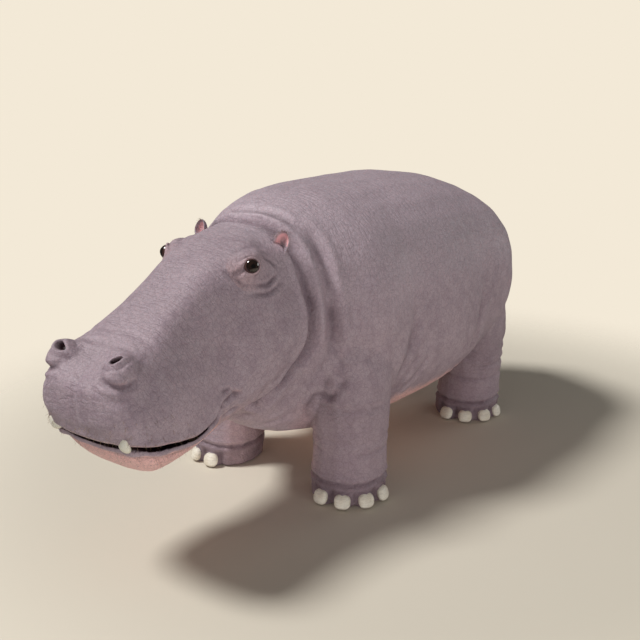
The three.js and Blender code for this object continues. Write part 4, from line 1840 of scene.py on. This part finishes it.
class Finish:
    """A material that is being made: its nodes and its Principled shader."""

    def __init__(self, name: str, groups: dict[str, bpy.types.NodeTree]) -> None:
        """Starts an empty material with a shader and an output.

        Args:
            name: what the material is called.
            groups: the shared node groups by name.
        """
        self.material = bpy.data.materials.new(name)
        self.material.use_nodes = True
        self.material.node_tree.nodes.clear()
        self.wire = Wiring(self.material.node_tree)
        self.groups = groups
        self.shader = self.wire.add("ShaderNodeBsdfPrincipled")
        self.wire.add("ShaderNodeOutputMaterial", {"Surface": self.shader.outputs[0]})
        self.where = self.wire.add("ShaderNodeTexCoord").outputs["Object"]

    def group(self, name: str, feeds: dict) -> bpy.types.NodeOutputs:
        """Places a shared node group and returns its outputs.

        Args:
            name: which shared group.
            feeds: what goes into its sockets.

        Returns:
            The outputs of the placed group.
        """
        return self.wire.add("ShaderNodeGroup", feeds, node_tree=self.groups[name]).outputs

    def mottle(self, scale: float) -> bpy.types.NodeOutputs:
        """Patches of two sizes."""
        return self.group("mottle", {"Where": self.where, "Scale": scale})

    def crackle(self, scale: float, warp: float) -> bpy.types.NodeOutputs:
        """Cells parted by cracks, bent out of line by a warp."""
        return self.group("crackle", {"Where": self.where, "Scale": scale, "Warp": warp})

    def wrinkles(self, stretch: tuple[float, float, float], tilt: float = 0.0) -> bpy.types.NodeSocket:
        """The height of creases that run one way."""
        return self.group("wrinkles", {"Where": self.where, "Stretch": stretch, "Tilt": tilt})["Height"]

    def height(self) -> bpy.types.NodeSocket:
        """How far each place is above the ground."""
        return self.wire.add("ShaderNodeSeparateXYZ", {0: self.where}).outputs["Z"]

    def mark(self, name: str) -> bpy.types.NodeOutputs:
        """The three channels of a colour attribute."""
        read = self.wire.add("ShaderNodeAttribute", attribute_name=name)
        return self.wire.add("ShaderNodeSeparateColor", {0: read.outputs["Color"]}).outputs

    def bump(
        self, height: object, distance: float, strength: float = 1.0, onto: object = None
    ) -> bpy.types.NodeSocket:
        """Relief from a height, on top of another relief if one is given.

        Args:
            height: the height that varies over the surface.
            distance: how high 1 stands, in metres.
            strength: the share of the relief that shows.
            onto: the relief below it, if any.

        Returns:
            The socket with the normal.
        """
        feeds = {"Height": height, "Distance": distance, "Strength": strength}
        if onto is not None:
            feeds["Normal"] = onto
        return self.wire.add("ShaderNodeBump", feeds).outputs[0]

    def feed(self, **sockets: object) -> bpy.types.Material:
        """Feeds the shader's inputs, with _ for spaces in their names, and returns the material.

        Args:
            **sockets: what goes into each input.

        Returns:
            The finished material.
        """
        for label, value in sockets.items():
            self.wire.plug(self.shader.inputs[label.replace("_", " ")], value)
        return self.material


@dataclass(frozen=True)
class HideFinish:
    """Thick bare hide: mauve-grey, pink where it is thin, crackled and creased, with painted shade in its
    creases, on its legs and in its openings, and painted light on the top of the back.
    """

    mauve: Colour = tone(184, 163, 173)
    dusk: Colour = tone(169, 149, 159)
    dust: Colour = tone(199, 180, 187)
    # painted light on the top of the back
    painted_top_light: Colour = tone(207, 188, 198)
    pink: Colour = tone(246, 198, 193)
    cup: Colour = tone(250, 188, 191)
    # for painted shade on the legs and in the creases, for the cracks, and for the darkening near the
    # ground
    shade_and_crack_tone: Colour = tone(96, 78, 86)
    # painted shade inside the mouth, in the nostril openings and along the crease of the closed lips
    mouth: Colour = tone(50, 29, 33)
    freckle: Colour = tone(172, 130, 134)
    dusting: float = 0.42
    top_light: float = 0.85  # how far painted light lightens the top of the back
    top_light_heights: tuple[float, float] = (0.75, 1.45)  # heights
    # how much painted shade darkens the legs
    leg_shade: float = 0.22
    fine_cracks: float = 0.22
    large_cracks: float = 0.16
    # how much painted shade darkens the creases
    crease_shade: float = 0.55
    ground_darkening: float = 0.5
    cuff_darkening: float = 0.34  # below the ring above each foot

    def make(self, groups: dict[str, bpy.types.NodeTree]) -> bpy.types.Material:
        """Builds the material.

        Args:
            groups: the shared node groups by name.

        Returns:
            The material.
        """
        work = Finish("hide", groups)
        wire = work.wire
        marks, regions = work.mark("marks"), work.mark("regions")
        pink, hollow, dark = marks[0], marks[1], marks[2]
        face, legs, cup = regions[0], regions[1], regions[2]
        patches = work.mottle(2.4)
        small = work.crackle(105.0, 0.012)
        large = work.crackle(34.0, 0.03)
        upright = work.wrinkles((7.0, 42.0, 9.0), 0.1)
        rings = work.wrinkles((8.0, 8.0, 46.0))
        across = work.wrinkles((8.0, 40.0, 12.0), -0.44)
        # Colour
        colour = wire.blend(patches["Broad"], self.dusk, self.mauve)
        colour = wire.blend(wire.times(patches["Fine"], self.dusting), colour, self.dust)
        low = work.height()
        # Painted light: the top of the back is lightened with height, and the face much less.
        off_face = wire.span(face, 0.0, 1.0, (1.0, 0.1))
        top_lit = wire.times(wire.span(low, *self.top_light_heights, (0.0, self.top_light)), off_face)
        colour = wire.blend(top_lit, colour, self.painted_top_light)
        # Painted shade: the legs are darkened all over.
        colour = wire.blend(wire.times(legs, self.leg_shade), colour, self.shade_and_crack_tone)
        freckles = wire.add("ShaderNodeTexVoronoi", {"Vector": work.where, "Scale": 46.0})
        spots = wire.span(freckles.outputs["Distance"], 0.16, 0.30, (0.55, 0.0))
        flush = wire.blend(wire.times(spots, patches["Fine"]), self.pink, self.freckle)
        flush = wire.blend(cup, flush, self.cup)
        colour = wire.blend(pink, colour, flush)
        lines = wire.times(small["Cracks"], self.fine_cracks)
        lines = wire.plus(lines, wire.times(large["Cracks"], self.large_cracks))
        outer = wire.minus(1.0, cup)
        colour = wire.blend(wire.times(lines, outer), colour, self.shade_and_crack_tone)
        # Painted shade: the creases are darkened by their depth, except in the dishes of the ears.
        painted_crease_shade = wire.times(wire.times(hollow, self.crease_shade), outer)
        colour = wire.blend(painted_crease_shade, colour, self.shade_and_crack_tone)
        # Darker towards the ground, in patches, and darker below the ring above each foot.
        soles = wire.span(low, 0.20, 0.02, (0.0, self.ground_darkening))
        colour = wire.blend(wire.times(soles, patches["Fine"]), colour, self.shade_and_crack_tone)
        cuff = wire.times(legs, wire.span(low, 0.126, 0.108, (0.0, self.cuff_darkening)))
        colour = wire.blend(cuff, colour, self.shade_and_crack_tone)
        # Painted shade: the inside of the mouth, the nostril openings and the crease of the closed lips
        # are near black.
        colour = wire.blend(dark, colour, self.mouth)
        # Relief
        trunk = wire.minus(1.0, wire.maths("MAXIMUM", face, legs))
        folds = wire.times(upright, trunk)
        folds = wire.plus(folds, wire.times(rings, legs))
        folds = wire.plus(folds, wire.times(across, face))
        relief = work.bump(folds, 0.0022, 0.55)
        relief = work.bump(large["Height"], 0.0016, 0.6, relief)
        relief = work.bump(small["Height"], 0.0009, 0.65, relief)
        pores = wire.noise(work.where, 420.0, 2.0)
        relief = work.bump(pores, 0.0004, 0.5, relief)
        rough = wire.span(patches["Fine"], 0.0, 1.0, (0.50, 0.66))
        rough = wire.plus(rough, wire.times(small["Cracks"], 0.08))
        rough = wire.minus(rough, wire.times(dark, 0.25))
        work.feed(Subsurface_Weight=0.06, Subsurface_Radius=(0.012, 0.005, 0.004), Subsurface_Scale=1.0)
        return work.feed(Base_Color=colour, Roughness=rough, Normal=relief)


@dataclass(frozen=True)
class EyeFinish:
    """A nearly black iris with a wet gloss over it."""

    pupil: Colour = tone(8, 6, 6)
    iris: Colour = tone(44, 28, 20)
    ring: Colour = tone(20, 13, 11)
    white: Colour = tone(78, 54, 50)

    def make(self, groups: dict[str, bpy.types.NodeTree]) -> bpy.types.Material:
        """Builds the material from each point's angle off the pupil.

        Args:
            groups: the shared node groups by name.

        Returns:
            The material.
        """
        work = Finish("eye", groups)
        wire = work.wire
        gaze = work.mark("gaze")
        turn, around = gaze[0], gaze[1]
        streaks = work.mottle(60.0)
        iris = wire.blend(wire.times(streaks["Fine"], 0.7), self.iris, self.ring)
        wide = wire.span(around, 0.0, 1.0, (0.075, 0.105))
        pupil = wire.maths("GREATER_THAN", wide, turn)
        colour = wire.blend(wire.span(turn, 0.20, 0.235), iris, self.ring)
        colour = wire.blend(wire.span(turn, 0.25, 0.30), colour, self.white)
        colour = wire.blend(pupil, colour, self.pupil)
        rough = wire.span(streaks["Fine"], 0.0, 1.0, (0.03, 0.06))
        work.feed(Coat_Weight=1.0, Coat_Roughness=0.02, IOR=1.38)
        return work.feed(Base_Color=colour, Roughness=rough)


@dataclass(frozen=True)
class TuskFinish:
    """Old ivory: cream, browner towards the gum, with fine lines along it."""

    ivory: Colour = tone(250, 247, 234)
    stain: Colour = tone(214, 196, 158)
    line: Colour = tone(186, 164, 126)

    def make(self, groups: dict[str, bpy.types.NodeTree]) -> bpy.types.Material:
        """Builds the material.

        Args:
            groups: the shared node groups by name.

        Returns:
            The material.
        """
        work = Finish("tusk", groups)
        wire = work.wire
        stains = work.mottle(26.0)
        grain = work.wrinkles((420.0, 420.0, 30.0))
        crazing = work.crackle(160.0, 0.004)
        low = work.height()
        gum = wire.span(low, 0.675, 0.635, (0.0, 0.6))
        colour = wire.blend(wire.times(stains["Fine"], 0.3), self.ivory, self.stain)
        colour = wire.blend(gum, colour, self.stain)
        colour = wire.blend(wire.times(crazing["Cracks"], 0.10), colour, self.line)
        relief = work.bump(grain, 0.0005, 0.5)
        rough = wire.span(stains["Fine"], 0.0, 1.0, (0.24, 0.42))
        return work.feed(Base_Color=colour, Roughness=rough, Normal=relief)


@dataclass(frozen=True)
class NailFinish:
    """Worn horn: pale, with growth lines across it and grime at the sole."""

    horn: Colour = tone(246, 240, 226)
    warm: Colour = tone(216, 201, 178)
    grime: Colour = tone(112, 94, 86)

    def make(self, groups: dict[str, bpy.types.NodeTree]) -> bpy.types.Material:
        """Builds the material.

        Args:
            groups: the shared node groups by name.

        Returns:
            The material.
        """
        work = Finish("nail", groups)
        wire = work.wire
        patches = work.mottle(18.0)
        growth = work.wrinkles((14.0, 14.0, 190.0))
        chips = work.crackle(90.0, 0.01)
        low = work.height()
        colour = wire.blend(wire.times(patches["Broad"], 0.45), self.horn, self.warm)
        streaks = wire.span(growth, 0.0, 1.0, (0.18, 0.0))
        colour = wire.blend(streaks, colour, self.grime)
        foot = wire.span(low, 0.022, 0.004, (0.0, 0.55))
        colour = wire.blend(foot, colour, self.grime)
        colour = wire.blend(wire.times(chips["Cracks"], 0.08), colour, self.grime)
        relief = work.bump(growth, 0.0006, 0.35)
        relief = work.bump(chips["Height"], 0.0004, 0.25, relief)
        rough = wire.span(patches["Fine"], 0.0, 1.0, (0.42, 0.62))
        return work.feed(Base_Color=colour, Roughness=rough, Normal=relief)


@dataclass(frozen=True)
class BristleFinish:
    """Stiff hair, pale brown at the root and straw-coloured at the tip."""

    straw: Colour = tone(178, 156, 122)
    brown: Colour = tone(104, 82, 66)

    def make(self, groups: dict[str, bpy.types.NodeTree]) -> bpy.types.Material:
        """Builds the material.

        Args:
            groups: the shared node groups by name.

        Returns:
            The material.
        """
        work = Finish("bristle", groups)
        wire = work.wire
        patches = work.mottle(30.0)
        colour = wire.blend(patches["Fine"], self.straw, self.brown)
        rough = wire.span(patches["Broad"], 0.0, 1.0, (0.45, 0.6))
        return work.feed(Base_Color=colour, Roughness=rough)


# ------------------------------------------------------------------ studio


@dataclass(frozen=True)
class Lamp:
    """A soft lamp that hangs round the animal."""

    name: str
    towards: tuple[float, float, float]  # the way from the animal to the lamp
    away: float
    size: tuple[float, float]  # its width and height
    watts: float
    in_gloss: bool = True  # whether wet and polished surfaces mirror it


# A large key lamp from the animal's right, and fills from its left, its front and behind.
LAMPS = (
    Lamp("key", (-0.463, -0.362, 0.809), 30.0, (7.0, 7.0), 6700.0),
    Lamp("side_fill", (0.95, -0.35, 0.03), 9.0, (7.0, 1.6), 245.0, in_gloss=False),
    Lamp("front_fill", (0.05, -1.0, 0.03), 9.0, (7.0, 1.6), 145.0, in_gloss=False),
    Lamp("back_fill", (0.5, 1.0, 0.25), 9.0, (6.0, 3.0), 105.0),
)


@dataclass(frozen=True)
class Studio:
    """A pale floor that runs into a pale backdrop, soft light from one side, and the camera."""

    stance: Stance
    azimuth: float = math.radians(35.2)
    elevation: float = math.radians(16.6)
    distance: float = 4.78
    aim: tuple[float, float, float] = (-0.0045, 0.324, 0.7584)  # on the body
    lens: float = 50.0
    cream: Colour = tone(243, 233, 215)
    room_tone: Colour = tone(236, 232, 226)
    room_glow: float = 0.082
    floor_tone: Colour = tone(235, 227, 210)
    floor_stain: Colour = tone(220, 210, 192)
    lamp_tint: tuple[float, float, float] = (1.0, 0.99, 0.975)
    aim_light: tuple[float, float, float] = (0.0, 0.5, 0.5)  # on the body
    floor_reach: float = 4.0
    floor_middle: tuple[float, float] = (0.35, 0.35)
    floor_fade: tuple[float, float] = (1.6, 3.3)  # where it starts to fade, and where it is gone

    def back(self) -> Vector:
        """From the animal towards the camera.

        Returns:
            The direction, of length 1.
        """
        flat = math.cos(self.elevation)
        across, ahead = math.sin(self.azimuth) * flat, math.cos(self.azimuth) * flat
        return Vector((across, -ahead, math.sin(self.elevation)))

    def place_camera(self) -> None:
        """Sets up the camera."""
        data = bpy.data.cameras.new("camera")
        data.lens = self.lens
        data.sensor_width = 36.0
        data.clip_end = 200.0
        camera = bpy.data.objects.new("camera", data)
        bpy.context.scene.collection.objects.link(camera)
        camera.location = self.stance.on_body(*self.aim) + self.back() * self.distance
        camera.rotation_mode = "QUATERNION"
        camera.rotation_quaternion = (-self.back()).to_track_quat("-Z", "Y")
        bpy.context.scene.camera = camera

    def hang(self, lamp: Lamp) -> None:
        """Hangs a soft lamp.

        Args:
            lamp: what it is like and where it hangs.
        """
        light = bpy.data.lights.new(lamp.name, "AREA")
        light.shape = "ELLIPSE"
        light.size, light.size_y = lamp.size
        light.energy = lamp.watts
        light.color = self.lamp_tint
        holder = bpy.data.objects.new(lamp.name, light)
        bpy.context.scene.collection.objects.link(holder)
        towards = Vector(lamp.towards).normalized()
        holder.location = self.stance.on_body(*self.aim_light) + towards * lamp.away
        holder.rotation_mode = "QUATERNION"
        holder.rotation_quaternion = (-towards).to_track_quat("-Z", "Y")
        holder.visible_camera = False
        holder.visible_glossy = lamp.in_gloss

    def light(self) -> None:
        """Hangs the lamps in a dim room that looks pale to the camera."""
        for lamp in LAMPS:
            self.hang(lamp)
        world = bpy.data.worlds.new("room")
        world.use_nodes = True
        bpy.context.scene.world = world
        wire = Wiring(world.node_tree)
        world.node_tree.nodes.clear()
        seen = wire.add("ShaderNodeBackground", {"Color": self.cream, "Strength": 1.0})
        given = wire.add("ShaderNodeBackground", {"Color": self.room_tone, "Strength": self.room_glow})
        rays = wire.add("ShaderNodeLightPath").outputs["Is Camera Ray"]
        mixed = wire.add("ShaderNodeMixShader", {0: rays, 1: given.outputs[0], 2: seen.outputs[0]})
        wire.add("ShaderNodeOutputWorld", {"Surface": mixed.outputs[0]})

    def lay_floor(self) -> None:
        """A round floor that fades into the backdrop."""
        bpy.ops.object.select_all(action="DESELECT")
        bpy.ops.mesh.primitive_circle_add(vertices=96, radius=self.floor_reach, fill_type="NGON")
        floor = bpy.context.active_object
        floor.name = "floor"
        finish = Finish("floor", {})
        wire = finish.wire
        parts = wire.add("ShaderNodeSeparateXYZ", {0: finish.where}).outputs
        flat = wire.add("ShaderNodeCombineXYZ", {"X": parts["X"], "Y": parts["Y"]}).outputs[0]
        middle = (*self.floor_middle, 0.0)
        far = wire.add("ShaderNodeVectorMath", {0: flat, 1: middle}, operation="DISTANCE")
        alpha = wire.span(far.outputs["Value"], *self.floor_fade, (1.0, 0.0))
        stains = wire.times(wire.noise(finish.where, 1.4, 2.0), 0.08)
        colour = wire.blend(stains, self.floor_tone, self.floor_stain)
        floor.data.materials.append(finish.feed(Base_Color=colour, Alpha=alpha, Roughness=0.85))

    def build(self) -> None:
        """Sets the stage."""
        self.place_camera()
        self.light()
        self.lay_floor()
        bpy.context.scene.view_settings.view_transform = "Standard"


# ------------------------------------------------------------------ assembly


def dress(piece: bpy.types.Object, material: bpy.types.Material) -> None:
    """Gives a piece its finish and rides it on the one body.

    Args:
        piece: the finished piece.
        material: what it is made of.
    """
    piece.data.materials.clear()
    piece.data.materials.append(material)
    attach(piece, "root")
    log.info("%s: %d faces", piece.name, len(piece.data.polygons))


def main() -> None:
    """Builds the animal and its studio in order."""
    logging.basicConfig(level=logging.INFO, format="%(name)s: %(message)s")
    feet = find_feet()
    stance = Stance(fore_line=next(f.middle.y for f in feet if f.name == "fore_left"))
    groups = {"crackle": make_crackle(), "wrinkles": make_wrinkles(), "mottle": make_mottle()}
    names = {1: "left", -1: "right"}
    lids = []
    for side in SIDES:
        low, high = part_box(f"eye_{names[side]}")
        radius = ROUNDER * max(high - low) / 2
        lids.append(Lids((low + high) / 2, radius, side))
    nostrils = [Nostril(side) for side in SIDES]
    ears = [Ear(side) for side in SIDES]

    hide = Hide(stance, feet)
    skin = hide.build(lids, nostrils, ears)
    dress(skin, HideFinish().make(groups))
    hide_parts(*hide.flesh())

    wet = EyeFinish().make(groups)
    ivory = TuskFinish().make(groups)
    for side, lid in zip(SIDES, lids):
        eye = Eyeball(lid).build(f"eyeball_{names[side]}")
        dress(eye, wet)
        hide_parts(f"eye_{names[side]}")
        tusk = Tusk(side).build(stance, f"canine_{names[side]}")
        dress(tusk, ivory)
        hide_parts(f"tusk_{names[side]}")

    nails, nodes = build_nails(feet)
    dress(nails, NailFinish().make(groups))
    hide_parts(*nodes)

    bristles = Bristles(stance).build(skin)
    dress(bristles, BristleFinish().make(groups))

    Studio(stance).build()


if __name__ == "__main__":
    main()
